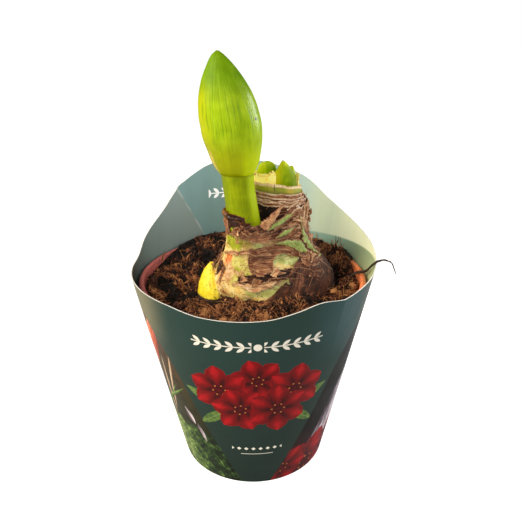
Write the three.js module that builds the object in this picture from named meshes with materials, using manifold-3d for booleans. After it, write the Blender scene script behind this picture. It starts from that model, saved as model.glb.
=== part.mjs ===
// A forced amaryllis bulb in a round plastic nursery pot, inside a creased card sleeve.
// Millimetres, +Z up. The origin is on the pot's axis, on its flat underside. The sleeve's low
// front faces -Y and its high back faces +Y.
import * as THREE from "three";
import { mergeVertices } from "three/addons/utils/BufferGeometryUtils.js";
import Module from "manifold-3d";

const wasm = await Module();
wasm.setup();

// Driving dimensions
const GAP = 0.35; // clearance between pieces that touch on the real plant
const POT = {
  rimRadius: 65,
  lipWidth: 3,
  height: 115,
  baseRadius: 43.2,
  wall: 1.5,
  bandHeight: 17,
  bandStep: 4.6, // from the rim in to the wall under the band
};
const DRAIN = { holes: 6, radius: 4, circle: 31 };
const SLEEVE = { baseRadius: 44.3, slope: 0.2039, thickness: 0.7, creases: [131, 311] };
const BULB = { bottom: 58, top: 150, x: 10, y: 6 };
const NECK = { x: 12.5, y: 5, cupRadius: 16.5, cupFloor: 141 };
const SCAPE = { x: -4.95, y: -15.4, zAt: 160, lean: -0.125, radius: 7.8, foot: 138, top: 175.4 };
const BUD = { bottom: 174, tip: 235.9, flatness: 0.8 };
const SKIN = 0.9; // thickness of the papery skins
const TAU = Math.PI * 2;
const { degToRad: rad, lerp, smoothstep: ramp } = THREE.MathUtils;

// Noise and smooth interpolation

// Repeatable random numbers from 0 to 1
function randomFrom(seed) {
  let s = seed >>> 0;
  return () => {
    s = (s + 0x6d2b79f5) >>> 0;
    let t = Math.imul(s ^ (s >>> 15), 1 | s);
    t = (t + Math.imul(t ^ (t >>> 7), 61 | t)) ^ t;
    return ((t ^ (t >>> 14)) >>> 0) / 4294967296;
  };
}

// A smooth wave round the full circle, about -1 to 1, made of a few seeded sines
function waveRound(seed, slowest, fastest) {
  const random = randomFrom(seed);
  const terms = [];
  for (let n = slowest; n <= fastest; n++) terms.push([n, random() * TAU, 0.5 + random()]);
  const total = Math.sqrt(terms.length);
  return (angle) => {
    const sum = terms.reduce((part, [n, phase, size]) => part + size * Math.sin(n * angle + phase), 0);
    return sum / total;
  };
}

// Value noise on the ground plane, -1 to 1
function groundNoise(x, y, seed) {
  const corner = (i, j) => {
    const h = Math.sin(i * 127.1 + j * 311.7 + seed * 74.7) * 43758.5453;
    return 2 * (h - Math.floor(h)) - 1;
  };
  const i = Math.floor(x);
  const j = Math.floor(y);
  const u = ramp(x - i, 0, 1);
  const v = ramp(y - j, 0, 1);
  const low = lerp(corner(i, j), corner(i + 1, j), u);
  const high = lerp(corner(i, j + 1), corner(i + 1, j + 1), u);
  return lerp(low, high, v);
}


// A smooth curve through rows of [key, value, value ...], read at a key
function table(rows) {
  const width = rows[0].length - 1;
  const slope = (k, c) => {
    const a = rows[Math.max(k - 1, 0)];
    const b = rows[Math.min(k + 1, rows.length - 1)];
    return (b[c] - a[c]) / (b[0] - a[0]);
  };
  return (key) => {
    const x = THREE.MathUtils.clamp(key, rows[0][0], rows[rows.length - 1][0]);
    let k = 0;
    while (k < rows.length - 2 && x > rows[k + 1][0]) k++;
    const step = rows[k + 1][0] - rows[k][0];
    const t = (x - rows[k][0]) / step;
    const out = [];
    for (let c = 1; c <= width; c++) {
      const h1 = 2 * t ** 3 - 3 * t ** 2 + 1;
      const h2 = t ** 3 - 2 * t ** 2 + t;
      const h3 = t ** 3 - t ** 2;
      out.push(
        h1 * rows[k][c] + (1 - h1) * rows[k + 1][c] + h2 * step * slope(k, c) + h3 * step * slope(k + 1, c),
      );
    }
    return out;
  };
}

// The same on a closed turn: rows of [degrees, value], read at an angle in radians
function turnTable(rows) {
  const first = rows[0];
  const ends = [[rows[rows.length - 1][0] - 360, rows[rows.length - 1][1]], ...rows];
  ends.push([first[0] + 360, first[1]], [rows[1][0] + 360, rows[1][1]]);
  const read = table(ends);
  return (angle) => {
    const degrees = THREE.MathUtils.euclideanModulo((angle * 360) / TAU - first[0], 360) + first[0];
    return read(degrees)[0];
  };
}

// Solids

// A closed solid from a three.js geometry, facing out
function solidOf(geometry) {
  const bare = new THREE.BufferGeometry().setAttribute("position", geometry.getAttribute("position"));
  if (geometry.index) bare.setIndex(geometry.index);
  const merged = mergeVertices(bare.index ? bare : bare.toNonIndexed(), 1e-4);
  const kept = [];
  for (let i = 0; i < merged.index.count; i += 3) {
    const [a, b, c] = [merged.index.getX(i), merged.index.getX(i + 1), merged.index.getX(i + 2)];
    if (a !== b && b !== c && a !== c) kept.push(a, b, c);
  }
  const build = (triangles) =>
    new wasm.Manifold(
      new wasm.Mesh({
        numProp: 3,
        vertProperties: new Float32Array(merged.attributes.position.array),
        triVerts: new Uint32Array(triangles),
      }),
    );
  const made = build(kept);
  if (made.volume() > 0) return made;
  for (let i = 0; i < kept.length; i += 3) [kept[i], kept[i + 1]] = [kept[i + 1], kept[i]];
  return build(kept);
}

// The largest body of a solid, without the loose scraps that a cut can leave
function largest(solid) {
  return solid.decompose().reduce((best, body) => (body.volume() > best.volume() ? body : best));
}

function cutBy(solid, ...tools) {
  return largest(tools.reduce((left, tool) => left.subtract(tool), solid));
}

// A body of rings stacked along v from pole to pole: at(turn, v) gives a point, turn from 0 to TAU
function poleBody(sides, rows, at) {
  const points = [];
  for (let j = 0; j <= rows; j++)
    for (let i = 0; i < sides; i++) points.push(...at((i / sides) * TAU, j / rows));
  const middleOf = (j) => {
    const middle = [0, 0, 0];
    for (let k = j * sides * 3; k < (j + 1) * sides * 3; k++) middle[k % 3] += points[k] / sides;
    return middle;
  };
  const low = points.length / 3;
  points.push(...middleOf(0), ...middleOf(rows));
  const faces = [];
  for (let i = 0; i < sides; i++) {
    const next = (i + 1) % sides;
    faces.push(low, next, i, low + 1, rows * sides + i, rows * sides + next);
    for (let j = 0; j < rows; j++) {
      const [a, b] = [j * sides + i, j * sides + next];
      faces.push(a, b, a + sides, b, b + sides, a + sides);
    }
  }
  return fromPoints(points, faces);
}

// A wall between an outer and an inner sheet over the same (u, v) grid, closed round in u or with
// ends. Both sheets are split into triangles alike, so that a waved wall never crosses itself.
function wallBody(columns, rows, closed, outer, inner) {
  const across = closed ? columns : columns + 1;
  const points = [];
  for (const sheet of [outer, inner])
    for (let j = 0; j <= rows; j++)
      for (let i = 0; i < across; i++) points.push(...sheet(i / columns, j / rows));
  const layer = across * (rows + 1);
  const faces = [];
  const quad = (a, b, c, d) => faces.push(a, b, c, a, c, d);
  for (let i = 0; i < columns; i++) {
    const next = (i + 1) % across;
    for (let j = 0; j < rows; j++) {
      const [a, b, c, d] = [j * across + i, j * across + next, (j + 1) * across + next, (j + 1) * across + i];
      quad(a, b, c, d);
      faces.push(layer + a, layer + c, layer + b, layer + a, layer + d, layer + c);
    }
    const top = rows * across;
    quad(i, layer + i, layer + next, next);
    quad(top + next, layer + top + next, layer + top + i, top + i);
  }
  if (!closed)
    for (let j = 0; j < rows; j++) {
      const [a, d] = [j * across, (j + 1) * across];
      quad(a, d, layer + d, layer + a);
      quad(a + columns, layer + a + columns, layer + d + columns, d + columns);
    }
  return fromPoints(points, faces);
}

function fromPoints(points, faces) {
  const geometry = new THREE.BufferGeometry();
  geometry.setAttribute("position", new THREE.Float32BufferAttribute(points, 3));
  geometry.setIndex(faces);
  return solidOf(geometry);
}

// A round tube along a curve, its radius given along the way
function tubeBody(path, steps, sides, radiusAt) {
  const curve = new THREE.CatmullRomCurve3(path.map((p) => new THREE.Vector3(...p)), false, "centripetal");
  const frames = curve.computeFrenetFrames(steps, false);
  return poleBody(sides, steps, (turn, v) => {
    const k = Math.round(v * steps);
    const r = radiusAt(v);
    return curve
      .getPointAt(v)
      .addScaledVector(frames.normals[k], r * Math.cos(turn))
      .addScaledVector(frames.binormals[k], r * Math.sin(turn))
      .toArray();
  });
}

// Pot

// Radius and height of the points of the inner face, from the lip down
const POT_INSIDE = [
  [POT.rimRadius - POT.lipWidth, POT.height - 0.8],
  [POT.rimRadius - POT.lipWidth - 1, POT.height - POT.bandHeight + 1.6],
  [POT.rimRadius - POT.bandStep - POT.wall, POT.height - POT.bandHeight - 1.2],
  [POT.baseRadius - POT.wall + 0.2, POT.wall + 1.1],
  [POT.baseRadius - POT.wall - 1.2, POT.wall],
];

// Thin-walled round pot with a flat base, a stepped rim band and a rounded lip
function potSolid() {
  const { rimRadius: rim, lipWidth: lip, height: top, baseRadius: foot } = POT;
  const bandFoot = top - POT.bandHeight;
  const profile = [
    [0, 0],
    [foot - 0.8, 0],
    [foot, 0.8],
    [rim - POT.bandStep, bandFoot - 2.4],
    [rim - 2.2, bandFoot],
    [rim, top - 2.2],
    [rim - 0.3, top - 0.6],
    [rim - 1.1, top],
    [rim - lip + 0.8, top],
    ...POT_INSIDE,
    [0, POT.wall],
  ].map(([r, z]) => new THREE.Vector2(r, z));
  const turned = new THREE.LatheGeometry(profile, 44).rotateX(Math.PI / 2);
  const drains = [];
  for (let i = 0; i < DRAIN.holes; i++) {
    const angle = ((i + 0.5) / DRAIN.holes) * TAU;
    const drain = new THREE.CylinderGeometry(DRAIN.radius, DRAIN.radius, 12, 10).rotateX(Math.PI / 2);
    drains.push(solidOf(drain.translate(DRAIN.circle * Math.cos(angle), DRAIN.circle * Math.sin(angle), 0)));
  }
  return cutBy(solidOf(turned), ...drains);
}

// Card sleeve

// Height of the die-cut top edge round the turn: low in front, a wave on either side, high at the back.
// The edge has its corners at the card's two creases.
const sleeveTop = turnTable([
  [-176, 121],
  [-150, 121.8],
  [-126, 122.2],
  [-110, 120.1],
  [-84, 120.5],
  [-72, 123.2],
  [-61, 125.9],
  [-49, 124],
  [-33, 124],
  [-14, 125.6],
  [8, 129.8],
  [29, 135.8],
  [47, 144.3],
  [63, 156],
  [82, 163],
  [98, 165.4],
  [113, 162.9],
  [131, 151.4],
  [144, 138.9],
  [161, 128.6],
  [172, 121.8],
]);

// The free upper part of the card stands out a little at its creases
function sleeveRadius(angle, z) {
  const round = SLEEVE.baseRadius + SLEEVE.slope * z;
  const nearCrease = SLEEVE.creases.reduce((most, crease) => {
    const away = Math.abs(THREE.MathUtils.euclideanModulo(angle - rad(crease) + Math.PI, TAU) - Math.PI);
    return Math.max(most, 1 - Math.min(away / rad(16), 1));
  }, 0);
  const halfway = Math.cos(2 * (angle - rad(SLEEVE.creases[0]))) ** 2;
  return round + ramp(z, 70, 150) * (1.5 * nearCrease ** 2 - 0.5 * halfway);
}

function sleeveSolid() {
  const sheet = (inset) => (u, v) => {
    const angle = u * TAU + rad(SLEEVE.creases[0]);
    const z = v * sleeveTop(angle);
    const r = sleeveRadius(angle, z) - inset;
    return [r * Math.cos(angle), r * Math.sin(angle), z];
  };
  return wallBody(76, 4, true, sheet(0), sheet(SLEEVE.thickness));
}

// Bulb

// The cross-section is the smooth hull of two circles, one on the neck's side and one on the scape's.
// By height: x, y and radius of the neck's circle, then of the scape's.
const bulbSection = table([
  [BULB.bottom, BULB.x, BULB.y, 15, BULB.x, BULB.y, 15],
  [61, BULB.x, BULB.y, 23, BULB.x, BULB.y, 23],
  [68, BULB.x, BULB.y, 31.5, BULB.x, BULB.y, 31.5],
  [78, BULB.x, BULB.y, 36.8, BULB.x, BULB.y, 36.8],
  [90, BULB.x, BULB.y, 38.6, BULB.x, BULB.y, 38.6],
  [101, BULB.x, BULB.y, 38.6, BULB.x, BULB.y, 38.6],
  [109, 10.5, 6, 37.2, 8, 3.6, 35.6],
  [116, 11.2, 5.8, 34, 2.6, -3, 28.6],
  [122, 12, 5.6, 29.4, -0.4, -8.4, 21.8],
  [128, 12.3, 5.4, 24.2, -2.4, -11.8, 16.2],
  [133, 12.4, 5.2, 20.8, -3.8, -13.8, 12.4],
  [139, NECK.x, NECK.y, 18.7, -4, -15, 10.4],
  [145, NECK.x, NECK.y, 18, -3.9, -15.2, 9.7],
  [164, NECK.x, NECK.y, 17.8, -4.2, -15.2, 9.6],
]);

// A point on the bulb, moved out by grow. The angle is the one the surface faces.
function bulbPoint(angle, z, grow = 0) {
  const [x1, y1, r1, x2, y2, r2] = bulbSection(z);
  const [c, s] = [Math.cos(angle), Math.sin(angle)];
  const lead = x1 * c + y1 * s + r1 - (x2 * c + y2 * s + r2);
  const share = 1 / (1 + Math.exp(-lead / 2.5));
  return [
    share * (x1 + (r1 + grow) * c) + (1 - share) * (x2 + (r2 + grow) * c),
    share * (y1 + (r1 + grow) * s) + (1 - share) * (y2 + (r2 + grow) * s),
    z,
  ];
}

// The bulb up to a height, moved out by grow, and by more where its torn skins lie
function bulbBody(top, grow, skins = 0) {
  const bottom = BULB.bottom - grow;
  return poleBody(36, 13, (turn, v) => {
    const z = lerp(bottom, top, v ** 0.8);
    return bulbPoint(turn, z, grow + skins * ramp(z, 82, 92));
  });
}

const scapeX = (z) => SCAPE.x + SCAPE.lean * (z - SCAPE.zAt);

function scapeBody(grow, foot, top, rows) {
  return poleBody(20, rows, (turn, v) => {
    const z = foot + (top - foot) * v;
    const r = SCAPE.radius + grow + 0.5 * ramp(160 - z, 0, 14) + 0.35 * ramp(z, 168, 175);
    return [scapeX(z) + r * Math.cos(turn), SCAPE.y + 0.96 * r * Math.sin(turn), z];
  });
}

// Basal plate with fleshy roots that spread through the soil under the bulb
function rootsBody(grow) {
  const top = BULB.bottom - 2;
  const plate = new THREE.CylinderGeometry(14 + grow, 10 + grow, 4 + 2 * grow, 14).rotateX(Math.PI / 2);
  plate.translate(BULB.x, BULB.y, top + 1.5);
  const count = 7;
  const random = randomFrom(5);
  let body = solidOf(plate);
  for (let i = 0; i < count; i++) {
    const angle = ((i + 0.35 * random()) / count) * TAU;
    const reach = 24 + 12 * random();
    const drop = 26 + 16 * random();
    const sway = 0.5 * (random() - 0.5);
    const at = (r, turn, down) => [r * Math.cos(turn) + BULB.x, r * Math.sin(turn) + BULB.y, top - down];
    const path = [
      at(5, angle, 0),
      at(12, angle, 3.5),
      at(reach * 0.62, angle + sway * 0.5, 6 + drop * 0.3),
      at(reach * 0.78, angle + sway, 6 + drop * 0.7),
      at(reach * 0.85, angle + sway * 1.6, 6 + drop),
    ];
    body = body.add(tubeBody(path, 5, 5, (v) => 2 * (1 - 0.55 * v) + grow));
  }
  return body;
}

// Daughter bulblet at the foot of the bulb, leaning on its left side
const bulbletAxis = table([
  [88, -21, -11, 3],
  [93, -21.5, -12, 7.4],
  [100, -22, -13, 9.4],
  [107, -22.3, -13.4, 9],
  [114, -22.2, -13.2, 7.2],
  [120, -21.6, -12.6, 4.6],
  [124, -21, -12, 2.3],
  [126.5, -20.6, -11.6, 0.7],
]);

function bulbletBody(grow) {
  return poleBody(14, 8, (turn, v) => {
    const z = 88 - grow + (38.5 + 1.5 * grow) * v;
    const [x, y, r] = bulbletAxis(z);
    const flattened = 1 - 0.12 * Math.cos(2 * (turn - 0.6));
    return [x + (r + grow) * flattened * Math.cos(turn), y + (r + grow) * flattened * Math.sin(turn), z];
  });
}

// The living bulb, grown as one piece: flesh with a hole for the scape and a cup for the neck,
// the green scale that stands in the cup round the leaves, the bulblet and the roots
function bulbSolid() {
  const cupTop = BULB.top + 20;
  const cup = new THREE.CylinderGeometry(NECK.cupRadius, NECK.cupRadius, cupTop - NECK.cupFloor, 32);
  cup.rotateX(Math.PI / 2).translate(NECK.x, NECK.y, (cupTop + NECK.cupFloor) / 2);
  const scapeHole = scapeBody(GAP, SCAPE.foot - GAP, cupTop, 2);
  const flesh = cutBy(bulbBody(BULB.top, 0), solidOf(cup), scapeHole);
  return flesh.add(neckRing(GREEN_SCALE, 0)).add(bulbletBody(0)).add(rootsBody(0));
}

// Tunics: torn papery skins round the bulb

// Each skin covers the turn from one angle to another, in degrees, between a low and a high edge.
// lift is how far it stands off the bulb, curl how far its top edge rolls out.
const TUNICS = {
  tunic_collar: { from: -180, to: 180, low: [141.5, 1.8], high: [151.6, 1.5], lift: 0.5, curl: 1, seed: 21 },
  tunic_shoulder: { from: -108, to: 40, low: [126.8, 1.5], high: [134.6, 1.5], lift: 0.5, curl: 0.7, seed: 22 },
  tunic_front: { from: -118, to: -60, low: [117.2, 0.8], high: [121.6, 1.2], lift: 0.5, curl: 0.6, seed: 23 },
  tunic_right: { from: -62, to: 62, low: [102.5, 1.2], high: [122.6, 1.8], lift: 0.5, curl: 0.8, seed: 24 },
  tunic_back: { from: 64, to: 200, low: [103, 1.2], high: [131.5, 2], lift: 0.5, curl: 0.8, seed: 25 },
};

// The collar stands higher on the right, round the neck, and its low edge lifts on the left front
const collarRise = (angle) => 6 * ramp(Math.cos(angle - rad(20)), 0.1, 0.9);
const collarLift = (angle) => 6.5 * ramp(Math.cos(angle + rad(132)), 0.55, 0.95);

function tunicBody(name, grow) {
  const t = TUNICS[name];
  const closed = t.to - t.from === 360;
  const lowWave = waveRound(t.seed, 5, 17);
  const highWave = waveRound(t.seed + 50, 6, 21);
  const warp = waveRound(t.seed + 90, 3, 9);
  const isCollar = name === "tunic_collar";
  const place = (u, v) => {
    const angle = rad(lerp(t.from, t.to, u));
    const ends = closed ? 1 : ramp(Math.min(u, 1 - u), 0, 0.12) * 0.7 + 0.3;
    const middle = (t.low[0] + t.high[0]) / 2;
    const low = lerp(middle, t.low[0] + t.low[1] * lowWave(angle), ends) - grow;
    const high = lerp(middle, t.high[0] + t.high[1] * highWave(angle), ends) + grow;
    const [up, down] = isCollar ? [collarRise(angle), collarLift(angle)] : [0, 0];
    return { angle, z: lerp(low + down, high + up, v) };
  };
  const sheet = (out) => (u, v) => {
    const { angle, z } = place(u, v);
    const roll = t.curl * ramp(v, 0.6, 1) + 0.35 * t.curl * ramp(1 - v, 0.75, 1);
    return bulbPoint(angle, z, t.lift + roll + 0.3 * (1 + warp(angle)) + out);
  };
  const columns = Math.max(10, Math.round((t.to - t.from) / 7));
  return wallBody(columns, 3, closed, sheet(SKIN + grow), sheet(-grow));
}

// Neck: nested scales, cut across, round the young leaves

// A cut scale ring. Its top slopes up to the left and is slightly ragged.
function neckRing({ inner, thickness = SKIN, low, high, ragged, seed }, grow) {
  const wave = waveRound(seed, 3, 16);
  const sheet = (radius) => (u, v) => {
    const turn = u * TAU;
    const top = high + ragged * wave(turn) - 0.11 * radius * Math.cos(turn) + grow;
    const r = radius * (1 + 0.008 * wave(turn) * v);
    return [NECK.x + r * Math.cos(turn), NECK.y + r * Math.sin(turn), lerp(low - grow, top, v)];
  };
  return wallBody(32, 2, true, sheet(inner + thickness + grow), sheet(inner - grow));
}

const GREEN_SCALE = { inner: 13.6, thickness: 1.2, low: 139, high: 167.4, ragged: 0.25, seed: 31 };
const RINGS = {
  neck_skin_inner: { inner: 15.15, low: NECK.cupFloor + GAP, high: 161.6, ragged: 0.45, seed: 32 },
  neck_skin_outer: { inner: 16.5, low: BULB.top + GAP, high: 158.4, ragged: 0.6, seed: 33 },
};

// A young leaf: a blunt, thick blade that tapers to its tip, curved about the neck's axis
function leafBody({ x, y, turn, width, depth, bow, tip, lean }) {
  const foot = NECK.cupFloor + GAP;
  const across = new THREE.Vector2(Math.cos(turn), Math.sin(turn));
  return poleBody(12, 9, (angle, v) => {
    const z = foot + (tip - foot) * v;
    const taper = Math.sqrt(Math.max(1 - ramp(v, 0.6, 1.01) ** 1.5, 0.0016));
    const p = (width / 2) * taper * Math.cos(angle);
    const q = (depth / 2) * (0.35 + 0.65 * taper) * Math.sin(angle) + (bow * p * p) / width;
    const slant = lean * ramp(v, 0.5, 1);
    return [x + slant + p * across.x - q * across.y, y + p * across.y + q * across.x, z];
  });
}

const LEAVES = {
  leaf_front: { x: 16.2, y: -1.4, turn: rad(8), width: 16.4, depth: 5, bow: 0.5, tip: 181, lean: 0.6 },
  leaf_right: { x: 21.6, y: 6.4, turn: rad(62), width: 10.6, depth: 4.2, bow: 0.4, tip: 177.6, lean: 0 },
  leaf_back: { x: 8.2, y: 10.2, turn: rad(-14), width: 13, depth: 6, bow: -0.4, tip: 178.8, lean: 0.4 },
};

// Flower bud, closed in its two spathe valves

// Centre and half width of the bud, by height
const budShape = table([
  [BUD.bottom, -6.7, 7.4],
  [176.3, -7.1, 9],
  [178.9, -7.6, 10.9],
  [182, -8.2, 12.2],
  [189.6, -9.3, 13.7],
  [197, -10.2, 15.1],
  [205.3, -11, 15.3],
  [212.9, -12, 13.9],
  [220.3, -13.2, 11.5],
  [227.6, -14.6, 7.9],
  [232.9, -15.4, 4.2],
  [234.8, -15.6, 2.3],
  [BUD.tip, -15.6, 0.8],
]);

function budPoint(turn, z, out) {
  const [x, half] = budShape(z);
  const r = half + out;
  const depth = lerp(0.96, BUD.flatness, ramp(z, 175, 184));
  return [x + r * Math.cos(turn), SCAPE.y + depth * r * Math.sin(turn), z];
}

// The front valve laps over the back one: a raised skin from the left seam round to the back
const VALVE = { from: rad(-142), to: rad(48), bow: rad(10), low: 177.5, high: 232.6 };

function valveSkin() {
  const bow = (z) => VALVE.bow * Math.sin((Math.PI * (z - VALVE.low)) / (VALVE.high - VALVE.low));
  const sheet = (out) => (u, v) => {
    const z = lerp(VALVE.low, VALVE.high, v);
    return budPoint(lerp(VALVE.from - bow(z), VALVE.to + bow(z), u), z, out);
  };
  return wallBody(16, 10, false, sheet(0.45), sheet(-2));
}

function flowerStemSolid() {
  const bud = poleBody(24, 13, (turn, v) => budPoint(turn, lerp(BUD.bottom, BUD.tip, v), 0));
  return scapeBody(0, SCAPE.foot, SCAPE.top, 4).add(bud).add(valveSkin());
}

// Dried sheath: a brown curl that hugs the left of the scape where it leaves the bulb
function sheathBody(grow) {
  const wave = waveRound(41, 3, 12);
  const place = (out) => (u, v) => {
    const turn = rad(lerp(128, 268, u));
    const high = 158 - 3.4 * ramp(u, 0.35, 1) - 3 * ramp(1 - u, 0.7, 1) + 0.6 * wave(turn * 2);
    const z = lerp(150.6 - grow, high + grow, v);
    const roll = 2.1 * v ** 2 * Math.sin(Math.PI * Math.min(u * 1.2, 1));
    const r = SCAPE.radius + GAP + 0.25 + roll + out;
    return [scapeX(z) + r * Math.cos(turn), SCAPE.y + 0.94 * r * Math.sin(turn), z];
  };
  return wallBody(12, 3, false, place(SKIN + grow), place(-grow));
}

// Loose ribbons of torn skin. Each runs through points given as [turn in degrees, height, stand-off].
const RIBBONS = {
  ribbon_curled: {
    path: [[-64, 152, 3.2], [-61, 155.3, 3.2], [-58, 158.5, 3.4], [-55.5, 161.4, 4.2]],
    width: 3.6,
    material: "tunic",
  },
  ribbon_green_upper: {
    path: [[-58.5, 150.4, 3.3], [-55, 153, 3.5], [-51.5, 155.6, 3.4]],
    width: 3.2,
    material: "tunicGreen",
  },
  ribbon_green_lower: {
    path: [[-57, 143.6, 2.8], [-53, 146, 2.8], [-48, 148.6, 3]],
    width: 4,
    material: "tunicGreen",
  },
  ribbon_fork_right: {
    path: [[-47, 156, 3.4], [-45, 150, 3.2], [-42, 142, 3.1], [-38, 135.5, 2.7], [-28, 130, 2.9]],
    width: 3.6,
    material: "tunicGreen",
  },
  ribbon_fork_left: {
    path: [[-58, 141, 2.7], [-50, 138.4, 2.7], [-43.5, 133.6, 3]],
    width: 3.4,
    material: "tunicGreen",
  },
};

function ribbonBody({ path, width }, grow) {
  const points = path.map(([degrees, z, out]) => new THREE.Vector3(...bulbPoint(rad(degrees), z, out)));
  const curve = new THREE.CatmullRomCurve3(points, false, "centripetal");
  const outward = (u) => {
    const at = u * (path.length - 1);
    const k = Math.min(Math.floor(at), path.length - 2);
    const turn = rad(lerp(path[k][0], path[k + 1][0], at - k));
    return new THREE.Vector3(Math.cos(turn), Math.sin(turn), 0);
  };
  const place = (side) => (u, v) => {
    const t = THREE.MathUtils.clamp(u, 0.001, 0.999);
    const tangent = curve.getTangent(t);
    const normal = outward(u);
    const across = new THREE.Vector3().crossVectors(tangent, normal).normalize();
    const taper = 0.25 + 0.75 * Math.sin(Math.PI * THREE.MathUtils.clamp(u * 0.85 + 0.15, 0, 1)) ** 0.6;
    const s = (v - 0.5) * (width * taper + 2 * grow);
    const cup = 0.5 * (1 - (2 * v - 1) ** 2);
    return curve
      .getPoint(t)
      .addScaledVector(across, s)
      .addScaledVector(normal, cup + side)
      .toArray();
  };
  return wallBody(9, 2, false, place(SKIN + grow), place(-grow));
}

// Soil

// Surface of the potting soil: heaped up behind the bulb, hollow beside it
function soilHeight(x, y) {
  const heap = (cx, cy, spread, size) => {
    return size * Math.exp(-((x - cx) ** 2 + (y - cy) ** 2) / (2 * spread ** 2));
  };
  const slope = 10.5 * ramp(y, 8, 56);
  const lumps = 1.3 * groundNoise(x / 9, y / 9, 1) + 0.9 * groundNoise(x / 4.2, y / 4.2, 2);
  const dips = heap(-37, -10, 10, -4.5) + heap(48, 12, 8, -5) + heap(2, -36, 13, 4.2);
  return 109.3 + slope + dips + lumps * (1 - 0.65 * ramp(Math.hypot(x, y), 50, 61));
}

function soilBody() {
  const sectors = 44;
  const rings = 9;
  const lipTop = POT.height + GAP;
  const rows = rings + 5;
  const at = (turn, v) => {
    const k = Math.round(v * rows);
    const reach = POT.rimRadius - POT.lipWidth - 1.1;
    const edgeHeight = soilHeight(reach * Math.cos(turn), reach * Math.sin(turn));
    const spill = ramp(edgeHeight, lipTop + 0.7, lipTop + 1.6);
    const place = (r, z) => [r * Math.cos(turn), r * Math.sin(turn), z];
    if (k < rings) {
      const r = reach * ((k + 1) / rings) ** 0.85;
      return place(r, soilHeight(r * Math.cos(turn), r * Math.sin(turn)));
    }
    if (k === rings) return place(reach + 0.3 + 3 * spill, edgeHeight - 0.4 - 0.5 * spill);
    if (k === rings + 1) return place(reach + 0.3 + 2.6 * spill, Math.min(edgeHeight - 0.7, lipTop + 0.3));
    if (k === rings + 2) return place(reach + 0.2, Math.min(edgeHeight - 1, lipTop));
    const [r, z] = POT_INSIDE[k - rings - 2];
    return place(r - GAP, Math.max(z, POT.wall + 3));
  };
  return poleBody(sectors, rows, at);
}

function soilSolid() {
  const grown = [bulbBody(BULB.top, GAP, 2.9), rootsBody(GAP), bulbletBody(GAP), fibreBody(GAP)];
  const cut = cutBy(soilBody(), ...grown);
  const under = new THREE.CylinderGeometry(60, 60, 10, 24).rotateX(Math.PI / 2);
  return cutBy(cut, solidOf(under.translate(0, 0, POT.wall + GAP - 5)));
}

// A dry root fibre that lies over the rim and hangs out over the sleeve
const FIBRE = [
  [54, -1, 110.4],
  [59.6, -1.4, 115.2],
  [64.7, -2.2, 116.8],
  [65.9, -7.4, 120.8],
  [67.4, -13, 126.2],
  [69.5, -15.2, 128.6],
  [72.1, -15.4, 129.3],
  [75, -15.4, 128.5],
  [76.7, -15.3, 126.9],
  [78, -15.2, 124],
  [79.5, -15, 120.3],
];

function fibreBody(grow) {
  return tubeBody(FIBRE, 18, 5, (v) => 0.85 * (1 - 0.72 * v ** 1.5) + grow);
}

// Assembly

const COLOURS = {
  terracotta: ["#a8432c", 0.5],
  card: ["#2f4543", 0.45],
  soil: ["#3a2116", 0.95],
  flesh: ["#c9c06a", 0.5],
  tunic: ["#6b4433", 0.8],
  tunicGreen: ["#8fa56a", 0.7],
  stem: ["#9dbb12", 0.35],
  leaf: ["#a9c81f", 0.35],
  fibre: ["#2d1c12", 0.8],
};
const materials = {};
for (const [name, [color, roughness]] of Object.entries(COLOURS))
  materials[name] = new THREE.MeshStandardMaterial({ color, roughness, metalness: 0 });

const plant = new THREE.Group();

function place(name, solid, material) {
  const made = solid.getMesh();
  const positions = new Float32Array(made.numVert * 3);
  for (let i = 0; i < made.numVert; i++)
    positions.set(made.vertProperties.subarray(i * made.numProp, i * made.numProp + 3), i * 3);
  const geometry = new THREE.BufferGeometry();
  geometry.setAttribute("position", new THREE.BufferAttribute(positions, 3));
  geometry.setIndex(new THREE.BufferAttribute(made.triVerts, 1));
  geometry.computeVertexNormals();
  const mesh = new THREE.Mesh(geometry, materials[material]);
  mesh.name = name;
  plant.add(mesh);
}

place("pot", potSolid(), "terracotta");
place("sleeve", sleeveSolid(), "card");
place("soil", soilSolid(), "soil");
place("bulb", bulbSolid(), "flesh");

// Each skin is cut back from what lies inside it, and from the skins placed before it
const placed = [
  bulbBody(BULB.top + GAP, GAP),
  scapeBody(GAP, SCAPE.foot, SCAPE.top, 4),
  bulbletBody(GAP),
];
function placeSkin(name, bodyAt, material) {
  place(name, cutBy(bodyAt(0), ...placed), material);
  placed.push(bodyAt(GAP));
}
for (const name of Object.keys(RINGS)) {
  place(name, neckRing(RINGS[name], 0), "tunic");
  placed.push(neckRing(RINGS[name], GAP));
}
for (const name of Object.keys(TUNICS)) placeSkin(name, (grow) => tunicBody(name, grow), "tunic");
placeSkin("dry_sheath", sheathBody, "tunic");
for (const [name, ribbon] of Object.entries(RIBBONS))
  placeSkin(name, (grow) => ribbonBody(ribbon, grow), ribbon.material);
for (const [name, leaf] of Object.entries(LEAVES)) place(name, leafBody(leaf), "leaf");
place("flower_stem", flowerStemSolid(), "stem");
place("dry_fibre", fibreBody(0), "fibre");

export default plant;
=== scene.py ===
"""The looks of a potted amaryllis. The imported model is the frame, and finer pieces stand for its nodes."""
import itertools
import math

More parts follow.
